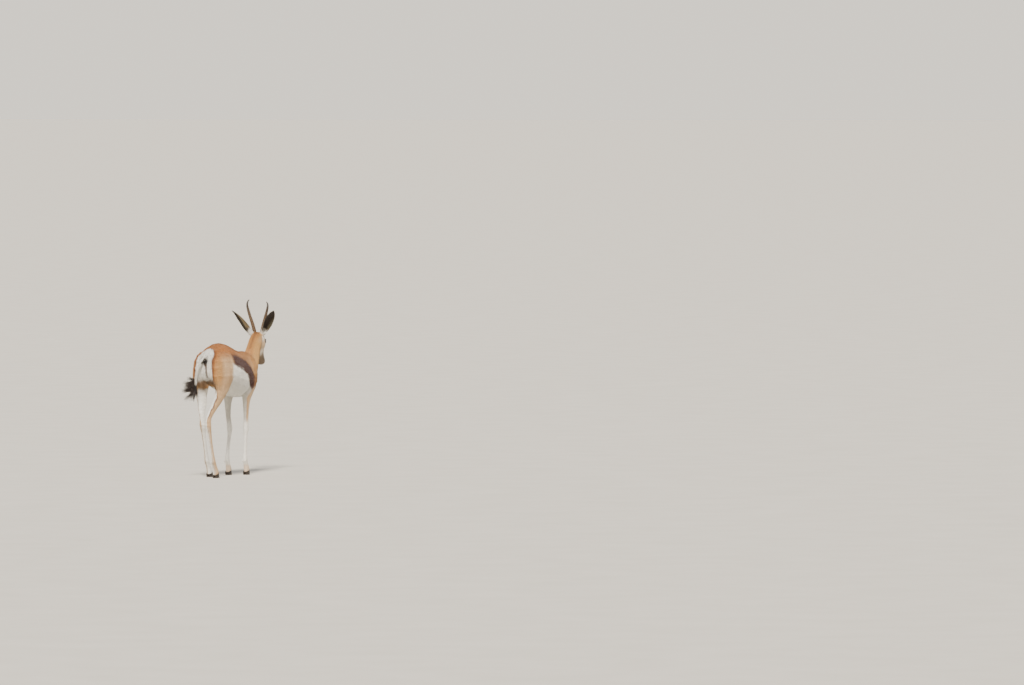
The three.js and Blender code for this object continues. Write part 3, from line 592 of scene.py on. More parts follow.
# the dark band along the flank: its upper and lower edge, from the haunch to the elbow
band = {
    "at": [-210, -150, -50, 67, 110, 150, 200, 235],
    "top": [744, 736, 724, 694, 676, 650, 614, 578],
    "low": [694, 670, 645, 610, 572, 536, 518, 536],
}


def bandEdges(x):
    return np.interp(x, band["at"], band["top"]), np.interp(x, band["at"], band["low"])


def trunk(at):
    return at.within("torso", *legNames[:2]) * ramp(-205, -175, at.x) * ramp(262, 232, at.x)


def backAndBelly(at):
    x, z, wave = at.x, at.z, at.wave
    top, low = bandEdges(x)
    body, torso = at.within("torso", "neck", *legNames), at.within("torso")
    redBack = ramp(670, 760, z + wave) * ramp(300, 230, x)
    # painted shade: the upper flank and the shoulder above the band are darkened a little
    upperFlankShade = ramp(725, 700, z) * ramp(640, 700, z) * ramp(-180, -60, x) * ramp(200, 120, x)
    # the outer haunch is paler in the middle, with warmer edges
    haunch = ramp(-130, -190, x) * ramp(-350, -300, x) * ramp(760, 680, z) * ramp(45, 80, np.abs(at.aside))
    underside = ramp(-0.55, -0.8, at.normal[:, 2]) * ramp(580, 560, z) * ramp(-230, -190, x)
    overBand = ramp(14, -2, z + wave - top) * ramp(-6, 2, z - top) * ramp(-215, -120, x)
    # the elbow and the point of the shoulder are a darker brown
    elbow = ramp(180, 225, x) * ramp(300, 262, x) * ramp(620, 580, z) * ramp(500, 530, z)
    return [
        ("cinnamon", redBack * body),
        ("darkCinnamon", 0.35 * upperFlankShade * body),
        ("paleFawn", 0.9 * body * haunch),
        ("white", trunk(at) * torso * ramp(3, -3, z + wave * 0.5 - low)),
        ("white", torso * underside),
        ("darkCinnamon", 0.5 * torso * overBand),
        ("darkCinnamon", 0.6 * elbow * at.within("torso", *legNames[:2])),
    ]


def neckMarks(at):
    # a reddish nape line, golden sides, cream throat
    x, y, z, neck = at.x, at.y, at.z, at.within("neck")
    upward, forward = at.normal[:, 2], at.normal[:, 0]
    nape = ramp(11, 5, np.abs(y + 2 + 0.05 * (z - 760))) * ramp(0.1, 0.4, upward - 0.5 * forward)
    throat = ramp(0.15, -0.45, upward - 0.4 * forward) * ramp(54, 34, np.abs(y)) * ramp(0.06, 0.4, at.share)
    return [
        ("gold", neck * ramp(0.85, 0.5, upward) * ramp(230, 330, x + 0.6 * (z - 700))),
        ("cinnamon", 0.5 * neck * ramp(0.5, 0.85, upward + 0.35 * np.maximum(-forward, 0))),
        ("darkCinnamon", 0.4 * neck * nape * ramp(730, 770, z)),
        ("cream", neck * throat),
        ("cream", 0.7 * neck * ramp(780, 820, z) * ramp(26, 38, np.abs(y + 3))),
    ]


def hindLegs(at):
    # marked by the way the surface faces, in degrees, 0 straight behind and growing outwards
    z, left, right = at.z, at.within("leg_hind_left"), at.within("leg_hind_right")
    hind = left + right
    outward = np.where(at.y > 0, 1.0, -1.0)
    turn = np.degrees(np.arctan2(at.normal[:, 1] * outward, -at.normal[:, 0])) + at.wave * 2
    turn = turn - (48 * left + 22 * right) * ramp(320, 380, z) * ramp(545, 500, z)
    inner = np.maximum(ramp(0, -10, turn) * ramp(535, 500, z), ramp(-60, -80, turn) * ramp(700, 640, z))
    # painted shade: a dark line down the inner edge of the right hind leg, beside the tendon
    innerShadeLine = ramp(-12, -4, turn) * ramp(34, 18, turn) * ramp(345, 375, z) * ramp(510, 480, z) * right
    frontLine = ramp(355, 300, z) * ramp(120, 165, z) * ramp(110, 140, turn) * ramp(185, 160, turn)
    outerLine = ramp(370, 330, z) * ramp(180, 230, z) * ramp(35, 55, turn) * ramp(95, 75, turn)
    return [
        ("fawn", 0.5 * hind * ramp(640, 540, z) * ramp(-60, 0, turn)),
        ("paleFawn", 0.75 * hind * ramp(600, 500, z) * ramp(-10, 20, turn)),
        ("white", hind * inner),
        # the dark inner line is painted shade
        ("stripe", 0.85 * hind * innerShadeLine),
        ("greyWhite", 0.6 * hind * ramp(-25, 10, turn) * ramp(70, 30, turn) * ramp(330, 270, z)),
        ("stripe", 0.55 * hind * frontLine),
        ("stripe", 0.5 * left * outerLine),
        ("paleFawn", 0.7 * hind * ramp(120, 90, z) * ramp(20, 60, turn)),
    ]


def foreLegs(at):
    # pale fawn in front and outside; inside and behind, the white fur is painted grey-white above the knee as
    # painted shade from the body; white below the knee
    marks, z = [], at.z
    for name in legNames[:2]:
        mine = at.within(name)
        out = at.offset[:, 1] * (1 if name.endswith("left") else -1)
        ahead = at.offset[:, 0]
        reach = np.hypot(out, ahead) + 1
        facing = out / reach + 0.5 * ahead / reach
        marks += [
            # painted shade: grey-white over the white fur inside and behind, above the knee
            ("greyWhite", mine * ramp(0.3, -0.2, facing) * ramp(620, 520, z)),
            ("paleFawn", mine * ramp(0.15, 0.65, facing) * ramp(620, 480, z)),
            ("white", 0.85 * mine * ramp(350, 300, z)),
            ("paleFawn", 0.6 * mine * ramp(0.4, 0.9, ahead / reach) * ramp(330, 280, z)),
            ("paleFawn", 0.7 * mine * ramp(75, 50, z)),
        ]
    return marks


def darkBand(at):
    x, z, wave = at.x, at.z, at.wave
    top, low = bandEdges(x)
    inBand = ramp(-3, 4, z + wave * 0.5 - low) * ramp(6, -9, z + wave - top)
    outer = ramp(20, 34, np.abs(at.aside))
    ends = ramp(-215, -150, x) * ramp(240, 205, x + wave)
    return [("chocolate", trunk(at) * inBand * outer * ends)]


rump = {"apex": -288, "right": 37, "left": 62, "shoulder": 38, "bluntness": 0.7}


def rumpPatch(at):
    # white, blunt on the croup and edged with dark red-brown; below it the thighs meet in shaded brown
    z, wave, middle = at.z, at.wave, np.abs(at.aside)
    wide = np.where(at.aside > 0, rump["left"], rump["right"])
    spread = wide * np.clip((rump["apex"] - at.x) / rump["shoulder"], 0, 1) ** rump["bluntness"]
    quarters = at.within("torso", *legNames[2:])
    rear = quarters * ramp(rump["apex"] + 8, rump["apex"] - 6, at.x) * ramp(545, 580, z)
    crotch = quarters * ramp(-225, -285, at.x) * ramp(596, 575, z) * ramp(500, 522, z)
    return [
        ("cinnamon", 0.7 * rear * ramp(44, 14, middle + wave - spread) * ramp(560, 620, z)),
        ("darkCinnamon", 0.75 * rear * ramp(26, 4, middle + wave * 0.6 - spread) * ramp(560, 600, z)),
        ("white", rear * ramp(3, -3, middle + wave * 0.4 - spread) * ramp(566, 590, z + wave)),
        ("shade", 0.7 * crotch * ramp(80, 50, middle)),
    ]


vent = {"y": -4, "z": 700, "half": (21, 29)}


def tailMarks(at):
    # bare dark skin under the tail with painted shade over it, a painted shade line drawn down into the cleft
    # between the thighs, and the white tail with its black end, with painted shade on its underside by the
    # skin and grey painted shade along its middle
    beside, above = at.y - vent["y"], at.z - vent["z"]
    across, tall = vent["half"]
    across = across + 0.45 * np.clip(above, -30, 14)
    spot = np.hypot((beside - 0.3 * above - 3) / across, (above - 3) / tall)
    rear = at.within("torso", *legNames[2:]) * ramp(-296, -312, at.x)
    cleft = np.abs(beside - 0.12 * above + 2)
    below = ramp(560, 590, at.z) * ramp(700, 680, at.z)
    tailHere = at.within("tail")
    shadedUnderside = ramp(0.1, 0.5, -at.normal[:, 1] - 0.3 * at.normal[:, 2])
    return [
        # the dark spot is bare skin and painted shade together
        ("black", rear * ramp(1.12, 0.86, spot)),
        # painted shade down the cleft between the thighs
        ("stripe", 0.8 * rear * ramp(8.5, 4, cleft) * below),
        ("earDark", 0.7 * rear * ramp(4.5, 2.0, cleft) * below),
        ("white", tailHere),
        # painted shade on the tail's underside next to the skin, then grey painted shade along its middle
        ("earDark", 0.9 * tailHere * ramp(1.0, 0.8, spot) * shadedUnderside),
        ("greyWhite", 0.6 * tailHere * ramp(0.35, 0.6, at.share)),
        ("black", tailHere * ramp(0.72, 0.8, at.share)),
    ]


# lines on the face by how far along the head they are, and how high
faceLines = {
    "stripe": ([62, 100, 150, 195], [10, 6, 0, -7]),
    "toEar": ([14, 44, 60], [16, 24, 22]),
    "socket": (61, 21),
    "socketHalf": (24, 17.5),
}


def faceMarks(at):
    # a white face painted cream-tan as painted shade, brown crown, a stripe from the eye to the mouth, and
    # the muzzle painted grey-brown as painted shade
    along, up, across = headPlace(at.mm)
    face, wide, jitter = at.within("head"), np.abs(across), at.jitter
    crown = ramp(92, 66, along + wide * 0.35 + jitter) * ramp(-14, 8, up) * ramp(40, 29, wide)
    brow = ramp(95, 75, along) * ramp(28, 50, along) * ramp(26, 14, wide) * ramp(10, 25, up)
    stripe = ramp(6.5, 3.5, np.abs(up + jitter * 0.4 - np.interp(along, *faceLines["stripe"])))
    stripe = stripe * ramp(60, 74, along) * ramp(200, 180, along) * ramp(14, 20, wide)
    # a thin dark line runs back from the eye to the root of the ear
    toEar = ramp(7, 3.5, np.abs(up - np.interp(along, *faceLines["toEar"]) + jitter * 0.3))
    toEar = toEar * ramp(10, 20, along) * ramp(62, 50, along) * ramp(26, 32, wide)
    (socketAlong, socketUp), (halfLong, halfHigh) = faceLines["socket"], faceLines["socketHalf"]
    socket = np.hypot((along - socketAlong) / halfLong, (up - socketUp) / halfHigh)
    return [
        # painted shade: the white face is given a cream-tan tone
        ("cream", face),
        ("white", 0.5 * face * ramp(60, 90, along) * ramp(150, 120, along) * ramp(-10, -28, up)),
        ("gold", face * crown),
        ("cinnamon", 0.7 * face * crown * ramp(22, 6, np.abs(across + 2))),
        ("cinnamon", 0.6 * face * brow),
        ("white", 0.6 * face * ramp(40, 22, along) * ramp(30, 38, wide) * ramp(-40, -10, up)),
        ("stripe", 0.8 * face * stripe),
        ("white", 0.55 * face * ramp(12, 20, up) * ramp(88, 104, along) * ramp(20, 12, wide)),
        # painted shade: the muzzle is darkened to grey-brown
        ("muzzleInShade", 0.88 * face * ramp(86, 148, along + up * 0.3 - 34 * ramp(-2, 14, up))),
        ("nosePad", face * ramp(209, 214, along + up * 0.2) * ramp(-9, -3, up)),
        ("earDark", 0.8 * face * toEar),
        ("earDark", face * ramp(1.05, 0.8, socket) * ramp(24, 30, wide)),
    ]


def earMarks(at):
    # a hollow of dark skin painted near black, partly as painted shade, a tan back, a pale root
    marks = []
    for name in earNames:
        mine = at.within(name)
        root, axis, opening, sideways = earAxes(name)
        reach = (at.mm - root) @ axis / earSize["length"]
        inside = ramp(-0.05, 0.2, at.normal @ opening)
        rim = ramp(0.45, 0.95, np.abs(at.normal @ sideways))
        marks += [
            ("earTan", mine),
            ("white", 0.65 * mine * ramp(0.22, 0.08, reach)),
            # the hollow's near black is dark skin and painted shade together
            ("earDark", mine * inside * ramp(0.1, 0.2, reach)),
            ("earGrey", 0.8 * mine * inside * rim * ramp(0.1, 0.3, reach)),
            ("earDark", 0.8 * mine * ramp(0.9, 0.98, reach)),
        ]
    return marks


# later marks lie over earlier ones
markers = [backAndBelly, neckMarks, hindLegs, foreLegs, darkBand, rumpPatch, tailMarks, faceMarks, earMarks]


def coatTint(mm, normal, place, jitter):
    at = Spots(mm, normal, place, jitter)
    tint = np.tile(tints["fawn"], (len(mm), 1))
    for marker in markers:
        for name, amount in marker(at):
            tint = paint(tint, name, amount)
    return np.clip(tint, 0, 1)


# The way the hair lies: back along the body and down the legs, out to the tips of the ears
lieRounds = 30
lieWays = {"neck": (-0.82, 0, -0.58), "head": -headAlong - 0.15 * headUp, "tail": (-0.12, 0.15, -1)}
legLie = np.array([-0.14, 0, -1])


def lieField(mm):
    x, _, z = mm.T
    down = 0.25 + 1.2 * ramp(-120, -300, x) + 0.9 * ramp(180, 260, x) * ramp(720, 640, z)
    way = np.stack([-np.ones(len(mm)), np.zeros(len(mm)), -down], 1)
    for k, name in enumerate(regions):
        mine = place == k
        if name in lieWays:
            way[mine] = lieWays[name]
        elif name in earNames:
            way[mine] = earAxes(name)[1]
        elif name in legNames:
            upper = ramp(520, 680, z[mine])[:, None]
            way[mine] = (1 - upper) * legLie + upper * way[mine]
    way = unit(way)
    for _ in range(lieRounds):
        way = unit(neighbourMean(way, edges) + way * 0.2)
    return way


lie = lieField(mm)
report("lie of the coat worked out")


# coat length and how deep the skin sits under it, in millimetres: the pairs are the least and what is added
coatLong = {
    "body": 13.0, "rump": 7, "belly": 3, "leg": (5, 7), "face": (3, 5), "ear": 5.0, "tail": 12.0, "blend": 10,
    "sunkShare": 0.15, "sunkMore": 0.3, "sunkEar": 0.5,
}


def coatLength(mm, normal, place):
    x, y, z = mm.T
    length = np.full(len(mm), coatLong["body"])
    length += coatLong["rump"] * ramp(-230, -260, x) * ramp(58, 48, np.abs(y)) * ramp(520, 600, z)
    length += coatLong["belly"] * ramp(0, -0.6, normal[:, 2]) * (place == regions.index("torso"))
    legLeast, legMore = coatLong["leg"]
    faceLeast, faceMore = coatLong["face"]
    for k, name in enumerate(regions):
        mine = place == k
        if name in legNames:
            length[mine] = legLeast + legMore * ramp(180, 620, z[mine])
        elif name == "head":
            length[mine] = faceLeast + faceMore * ramp(120, 0, headPlace(mm[mine])[0])
        elif name in earNames:
            length[mine] = coatLong["ear"]
        elif name == "tail":
            length[mine] = coatLong["tail"]
    return length


lengths = coatLength(mm, normals, place)[:, None]
for _ in range(coatLong["blend"]):
    lengths = neighbourMean(lengths, edges)
lengths = lengths[:, 0]
inset = np.where(isIn(*earNames), coatLong["sunkEar"], coatLong["sunkShare"] * lengths + coatLong["sunkMore"])
inset = np.where(isIn("tail"), 0.0, inset)
points = points - normals * (inset / 1000)[:, None]
setPoints(skinMesh, points)
mm = millimetres(points)
normals = calmNormals(skinMesh, edges)


def setAttribute(mesh, name, kind, values):
    made = mesh.attributes.new(name, kind, "POINT")
    key = "color" if kind == "FLOAT_COLOR" else "vector"
    made.data.foreach_set(key, np.asarray(values, np.float32).ravel())


def withAlpha(tint):
    return np.concatenate([tint, np.ones((len(tint), 1))], 1)


# between the hairs the skin lies in their shade
underHair = 0.86
skinTint = coatTint(mm, normals, place, np.zeros(len(mm))) * underHair
setAttribute(skinMesh, "coatTint", "FLOAT_COLOR", withAlpha(skinTint))
setAttribute(skinMesh, "coatLie", "FLOAT_VECTOR", lie)

# the bake map: each region is rolled out from its own centre line
corners = np.empty(len(skinMesh.loops), np.int32)
skinMesh.loops.foreach_get("vertex_index", corners)
corners = corners.reshape(-1, 3)
sheet = {
    "torso": (0.01, 0.01, 0.47, 0.47), "neck": (0.51, 0.01, 0.23, 0.3), "head": (0.76, 0.01, 0.23, 0.3),
    "ear_left": (0.51, 0.33, 0.22, 0.15), "ear_right": (0.76, 0.33, 0.22, 0.15),
    "tail": (0.01, 0.9, 0.4, 0.08),
    "leg_fore_left": (0.01, 0.5, 0.24, 0.38), "leg_fore_right": (0.26, 0.5, 0.24, 0.38),
    "leg_hind_left": (0.51, 0.5, 0.24, 0.38), "leg_hind_right": (0.76, 0.5, 0.23, 0.38),
}


def rollOut(mm, place, corners):
    uv = np.zeros((len(corners), 3, 2))
    owner = place[corners[:, 0]]
    for k, name in enumerate(regions):
        faces = np.flatnonzero(owner == k)
        way, low, high, at, middle = lines[name]
        one = unit(np.cross(way, (0.0, 1.0, 0.0) if abs(way[1]) < 0.8 else (1.0, 0.0, 0.0)))
        two = np.cross(way, one)
        flat = mm[corners[faces].ravel()]
        reach = flat @ way
        centre = np.stack([np.interp(reach, at, middle[:, i]) for i in range(3)], 1)
        angle = np.arctan2((flat - centre) @ two, (flat - centre) @ one) / (2 * math.pi)
        angle = angle.reshape(-1, 3)
        angle[:, 1:] -= np.round(angle[:, 1:] - angle[:, :1])
        u0, v0, wide, tall = sheet[name]
        share = np.clip((reach.reshape(-1, 3) - low) / (high - low), 0, 1)
        uv[faces, :, 0] = u0 + share * wide
        uv[faces, :, 1] = v0 + (np.clip(angle, -0.56, 0.56) / 1.12 + 0.5) * tall
    return uv


skinUv = rollOut(mm, place, corners)
layer = skinMesh.uv_layers.new(name="OFBake")
layer.data.foreach_set("uv", skinUv.astype(np.float32).ravel())
skinCoat = coatMaterial("short flat summer coat, combed", True)
skin = addObject("skin", skinMesh, skinCoat)
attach(skin, "root")
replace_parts(skin, "torso", "neck", "head", "tail", *earNames, *legNames)
report("skin painted")

# Tufts: flat tapered blades set over the skin
def tufts(names, count, width, rise, slot, half=0):
    return {"regions": names, "count": count, "width": width, "rise": rise, "slot": slot, "half": half}


coatTufts = {
    "coat_back_left": tufts(["torso"], 19000, 2.4, 8, "coat", half=1),
    "coat_back_right": tufts(["torso"], 19000, 2.4, 8, "coat", half=-1),
    "coat_neck": tufts(["neck"], 16000, 2.1, 7, "coat"),
    "coat_face": tufts(["head"], 19500, 1.15, 9, "face_coat"),
    "coat_ears": tufts(earNames, 12000, 1.2, 10, "ear_skin"),
    "coat_forelegs": tufts(legNames[:2], 17000, 1.7, 7, "leg_coat"),
    "coat_hind_left": tufts(legNames[2:3], 17000, 1.9, 7, "leg_coat"),
    "coat_hind_right": tufts(legNames[3:], 17000, 1.9, 7, "leg_coat"),
    "coat_dock": tufts(["tail"], 2600, 1.6, 14, "tail_hair"),
}
# a blade's own shape in millimetres and shares of its width, with painted shade at its root and painted light
# at its tip, and how much one tuft differs from the next
blade = {"sunk": 0.7, "thick": 0.35, "rootHalf": 0.4, "middleHalf": 0.5, "rootShade": 0.87, "tipLight": 1.07}
tuftSpread = {
    "stray": 0.1, "length": (0.75, 1.25), "rise": (0.5, 1.5), "width": (0.7, 1.2), "bend": (0.3, 0.9),
    "ragged": 1.8, "tone": (0.9, 1.09),
}


def blades(root, normal, way, length, width, thick, rise, bend):
    # a blade is a flat three-sided sliver: a root ring, a middle ring and a tip
    across = unit(np.cross(normal, way))
    rise, bend = rise[:, None], bend[:, None]
    length, width, thick = length[:, None], width[:, None], thick[:, None]
    start = root - normal * (blade["sunk"] / 1000)
    middle = start + (way * np.cos(rise) + normal * np.sin(rise)) * length * 0.5
    tip = start + (way * np.cos(rise * bend) + normal * np.sin(rise * bend)) * length
    narrow, full = across * width * blade["rootHalf"], across * width * blade["middleHalf"]
    rows = [
        start - narrow, start + narrow, start + normal * thick,
        middle - full, middle + full, middle + normal * thick,
        tip,
    ]
    faces = [
        (0, 1, 2), (0, 3, 4), (0, 4, 1), (1, 4, 5), (1, 5, 2), (2, 5, 3), (2, 3, 0),
        (3, 6, 4), (4, 6, 5), (5, 6, 3),
    ]
    return np.stack(rows, 1), np.array(faces)


def tuftMesh(name, rows, faces, tint, uv, draw):
    count, ring = rows.shape[:2]
    triangles = (faces[None] + (np.arange(count) * ring)[:, None, None]).reshape(-1, 3)
    mesh = meshFrom(name, rows.reshape(-1, 3), triangles)
    # painted shade on the root ring of each blade and painted light on its tip
    shade = np.ones((ring, 1))
    shade[:3] = blade["rootShade"]
    shade[-1] = blade["tipLight"]
    tones = np.clip(tint[:, None] * shade[None], 0, 1).reshape(-1, 3)
    setAttribute(mesh, "coatTint", "FLOAT_COLOR", withAlpha(tones))
    spots = np.repeat(uv[:, None], ring, 1).astype(np.float32)
    spots += (draw.random((1, ring, 2)) - 0.5) * 0.003
    layer = mesh.uv_layers.new(name="OFBake")
    layer.data.foreach_set("uv", spots.reshape(-1, 2)[triangles.ravel()].astype(np.float32).ravel())
    return mesh


def scatter(wanted, count, draw, density):
    # roots spread by area and density over the triangles, in even steps, so that no gaps open
    faces = np.flatnonzero(wanted)
    a, b, c = (points[corners[faces, i]] for i in range(3))
    area = np.linalg.norm(np.cross(b - a, c - a), axis=1) * density[faces]
    total = np.cumsum(area)
    picks = (np.arange(count) + draw.random(count)) / count * total[-1]
    chosen = faces[np.minimum(np.searchsorted(total, picks), len(faces) - 1)]
    one, two = np.sqrt(draw.random(count)), draw.random(count)
    return chosen, np.stack([1 - one, one * (1 - two), one * two], 1)


def mixCorners(values, chosen, share):
    return (values[corners[chosen]] * share[:, :, None]).sum(1)


hairCoat = coatMaterial("short flat summer coat, hair tips", False)
owner = place[corners[:, 0]]
fine = np.ones(len(points))
fine[isIn("head")] = 1 + 0.9 * ramp(60, 190, headPlace(mm[isIn("head")])[0])
for name in legNames:
    mine = isIn(name)
    fine[mine] = 1 + 2.4 * ramp(560, 200, mm[mine, 2])
density = fine[corners].mean(1)

draw = np.random.default_rng(21)
for name, spec in coatTufts.items():
    wanted = np.isin(owner, [regions.index(r) for r in spec["regions"]])
    if spec["half"]:
        wanted &= (mm[corners[:, 0], 1] * spec["half"]) >= 0
    chosen, share = scatter(wanted, spec["count"], draw, density)
    count = len(chosen)
    root = mixCorners(points, chosen, share)
    normal = unit(mixCorners(normals, chosen, share))
    way = mixCorners(lie, chosen, share) + draw.normal(0, tuftSpread["stray"], (count, 3))
    way = unit(way - normal * (way * normal).sum(1)[:, None])
    length = mixCorners(lengths[:, None], chosen, share)[:, 0] * draw.uniform(*tuftSpread["length"], count)
    rise = np.radians(spec["rise"] * draw.uniform(*tuftSpread["rise"], count))
    narrow = 1 / np.sqrt(density[chosen])
    width = spec["width"] * narrow * draw.uniform(*tuftSpread["width"], count)
    thick, bend = np.full(count, blade["thick"] / 1000), draw.uniform(*tuftSpread["bend"], count)
    rows, faces = blades(root, normal, way, length / 1000, width / 1000, thick, rise, bend)
    ragged = draw.normal(0, tuftSpread["ragged"], count)
    tint = coatTint(millimetres(root), normal, place[corners[chosen, 0]], ragged)
    tint = tint * draw.uniform(*tuftSpread["tone"], (count, 1))
    uv = (skinUv[chosen] * share[:, :, None]).sum(1)
    made = addObject(name, tuftMesh(name, rows, faces, tint, uv, draw), hairCoat)
    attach(made, "root")
report("tufts set")

# Tail tuft: long black hairs, gathered into tapered locks and blown to the left
tuftHair = {
    "count": 1500, "steps": 7, "shareFrom": 0.62, "shareTo": 0.985, "short": 26, "long": 100, "width": 0.95,
    "swingFrom": 14, "swing": 108, "lean": 24, "droop": 0.14, "clumps": 20, "hanging": 0.3,
    "lowest": 455,
}


def hairStrands(root, heading, length, width, droop, steps):
    # a strand is a tapered three-sided ribbon along a curve that hangs over at its end
    t = np.linspace(0, 1, steps + 1)[None, :, None]
    sag = np.array([0.0, 0.0, -1.0]) * (droop * length)[:, None, None] * t**2
    line = root[:, None] + heading[:, None] * length[:, None, None] * t + sag
    tangent = unit(np.gradient(line, axis=1))
    across = unit(np.cross(tangent, np.array([1.0, 0.05, 0.0])))
    other = np.cross(across, tangent)
    half = width[:, None, None] * (1 - 0.93 * t**1.3) / 2
    rings = [line - across * half, line + across * half, line + other * half * 0.5]
    rows = np.stack(rings, 2).reshape(len(root), -1, 3)
    end = steps * 3
    return rows, np.array(ringFaces(steps + 1, 3) + [(0, 2, 1), (end, end + 1, end + 2)])


# Coarse tail hair: nearly black brown with the long narrow shine of straight hair
tailHair, tailSurface = startMaterial(
    "coarse black tail hair", Roughness=0.42, Specular_IOR_Level=0.4, Anisotropic=0.5, Sheen_Weight=0.08,
)
hairTone = addNode(tailHair, "ShaderNodeAttribute", {"attribute_name": "coatTint"}).outputs["Color"]
hairFleck = remapped(tailHair, noise(tailHair, objectPlace(tailHair), 260.0, 2.0), 0.3, 0.7, 0.6, 1.5)
plugIn(tailHair, tailSurface, multiplied(tailHair, hairTone, hairFleck))


def tailTuft(spec, draw):
    count, clumps = spec["count"], spec["clumps"]
    clump = draw.integers(0, clumps, count)
    along = (np.arange(clumps) + 0.5) / clumps
    share = np.clip(along[clump] + draw.normal(0, 0.04, count), 0, 1)
    at = spec["shareFrom"] + (spec["shareTo"] - spec["shareFrom"]) * share
    stations = np.linspace(0, 1, tail["steps"])
    centre = np.stack([np.interp(at, stations, tailLine[:, i]) for i in range(3)], 1)
    ring = np.interp(at, stations, tailHalf)
    turn = draw.uniform(0, 2 * math.pi, count)
    centre[:, 0] += np.cos(turn) * ring * 0.8
    centre[:, 1] += np.sin(turn) * ring * 0.8
    hangs = draw.random(clumps) < spec["hanging"]
    still, blown = draw.uniform(-0.25, 0.05, clumps), draw.uniform(0.2, 1, clumps) * (1 - 0.2 * along)
    clumpSwing = np.where(hangs, still, blown)
    clumpLean = draw.uniform(-1, 1, clumps)
    clumpLength = np.where(hangs, draw.uniform(0.1, 0.45, clumps), draw.uniform(0.5, 1, clumps))
    swing = np.radians(spec["swingFrom"] + spec["swing"] * clumpSwing[clump] + draw.normal(0, 6, count))
    lean = np.radians(spec["lean"] * clumpLean[clump] + draw.normal(0, 5, count))
    heading = unit(np.stack([np.sin(lean) * 0.5, np.sin(swing), -np.cos(swing)], 1))
    more = clumpLength[clump] * draw.uniform(0.55, 1.0, count)
    length = spec["short"] + (spec["long"] - spec["short"]) * more
    # hairs that hang end above the lowest place of the tuft
    falls = np.maximum(0.25, -heading[:, 2] + spec["droop"])
    length = np.minimum(length, (centre[:, 2] - spec["lowest"]) / falls)
    width = spec["width"] * draw.uniform(0.6, 1.3, count)
    rows, faces = hairStrands(
        metres(centre), heading, length / 1000, width / 1000, np.full(count, spec["droop"]), spec["steps"],
    )
    tone = tints["tuft"] * draw.uniform(0.6, 1.9, (count, 1))
    sheetPlace = np.stack([0.62 + 0.3 * at, 0.9 + 0.07 * turn / (2 * math.pi)], 1)
    return tuftMesh("tail_tuft", rows, faces, tone, sheetPlace, draw)


tuftPiece = addObject("tail_tuft", tailTuft(tuftHair, np.random.default_rng(8)), tailHair)
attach(tuftPiece, "root")
report("tail tuft set")


# Eyes: a dark ball with a level slit of a pupil under a clear bulge
eyeWork = {
    "along": 64, "up": 21, "side": 31, "radius": 15.5, "gaze": (0.93, 0.24, 0.27),
    "cornea": 10.5, "bulge": 0.9, "shrink": 0.994,
}


def eyeAxes(side):
    centre = onHead(eyeWork["along"], eyeWork["up"], side * eyeWork["side"])
    outPart, alongPart, upPart = eyeWork["gaze"]
    out = unit(headSide * side * outPart + headAlong * alongPart + headUp * upPart)
    nose = unit(headAlong - out * (headAlong @ out))
    return centre, out, nose, np.cross(out, nose)


# Wet eye of an antelope: brown-black iris under a clear smooth cornea, which gives one small sharp highlight.
# The iris shows warm brown only at its outer ring; the pupil is a wide level bar.
def eyeMaterial():
    material, surface = startMaterial(
        "wet dark brown eye", Roughness=0.06, Coat_Weight=1.0, Coat_Roughness=0.02, Coat_IOR=1.38,
    )
    place = objectPlace(material)
    split = addNode(material, "ShaderNodeSeparateXYZ", inputs={0: place})
    acrossEye, upEye = split.outputs["X"], split.outputs["Y"]
    # the pupil is a level bar, about 7 mm to each side and 3.5 mm up and down
    lengthways = maths(material, "MULTIPLY", acrossEye, 100.0)
    upright = maths(material, "MULTIPLY", upEye, 210.0)
    bar = addNode(material, "ShaderNodeCombineXYZ", inputs={0: lengthways, 1: upright}).outputs[0]
    disc = addNode(material, "ShaderNodeCombineXYZ", inputs={0: acrossEye, 1: upEye}).outputs[0]
    discReach = vectorMaths(material, "LENGTH", {0: disc}, "Value")
    fibres = noise(material, place, 900.0, 2.0)
    iris = remapped(material, maths(material, "MULTIPLY_ADD", fibres, 0.002, discReach), 0.0, 0.016)
    rings = [(0.0, "1c0f08"), (0.55, "3a2010"), (0.75, "55331a"), (0.82, "140c08"), (1.0, "0d0908")]
    edge = remapped(material, vectorMaths(material, "LENGTH", {0: bar}, "Value"), 0.62, 0.8)
    mixed = addNode(
        material, "ShaderNodeMix", {"data_type": "RGBA"},
        {0: edge, 6: (0.004, 0.004, 0.006, 1), 7: colourRamp(material, iris, rings)},
    )
    return plugIn(material, surface, mixed.outputs[2])


def eyeBall(name, side, material):
    # the ball stands in its own axes, x to the nose, z outwards, with the cornea bulged along z
    centre, out, nose, upward = eyeAxes(side)
    work = bmesh.new()
    bmesh.ops.create_uvsphere(work, u_segments=48, v_segments=32, radius=eyeWork["radius"] / 1000)
    for v in work.verts:
        reach = math.hypot(v.co.x, v.co.y) * 1000
        if v.co.z > 0 and reach < eyeWork["cornea"]:
            v.co.z += eyeWork["bulge"] / 1000 * (1 - (reach / eyeWork["cornea"]) ** 2)
        v.co *= eyeWork["shrink"]
    mesh = bpy.data.meshes.new(name)
    work.to_mesh(mesh)
    work.free()
    mesh.polygons.foreach_set("use_smooth", np.ones(len(mesh.polygons), bool))
    made = addObject(name, mesh, material)
    turn = Matrix((nose, upward, out)).transposed().to_4x4()
    made.matrix_world = Matrix.Translation(Vector(metres(centre))) @ turn
    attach(made, "root")
    return made


wetEye = eyeMaterial()
for name, side in (("left", 1), ("right", -1)):
    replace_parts(eyeBall(f"eyeball_{name}", side, wetEye), f"eye_{name}")


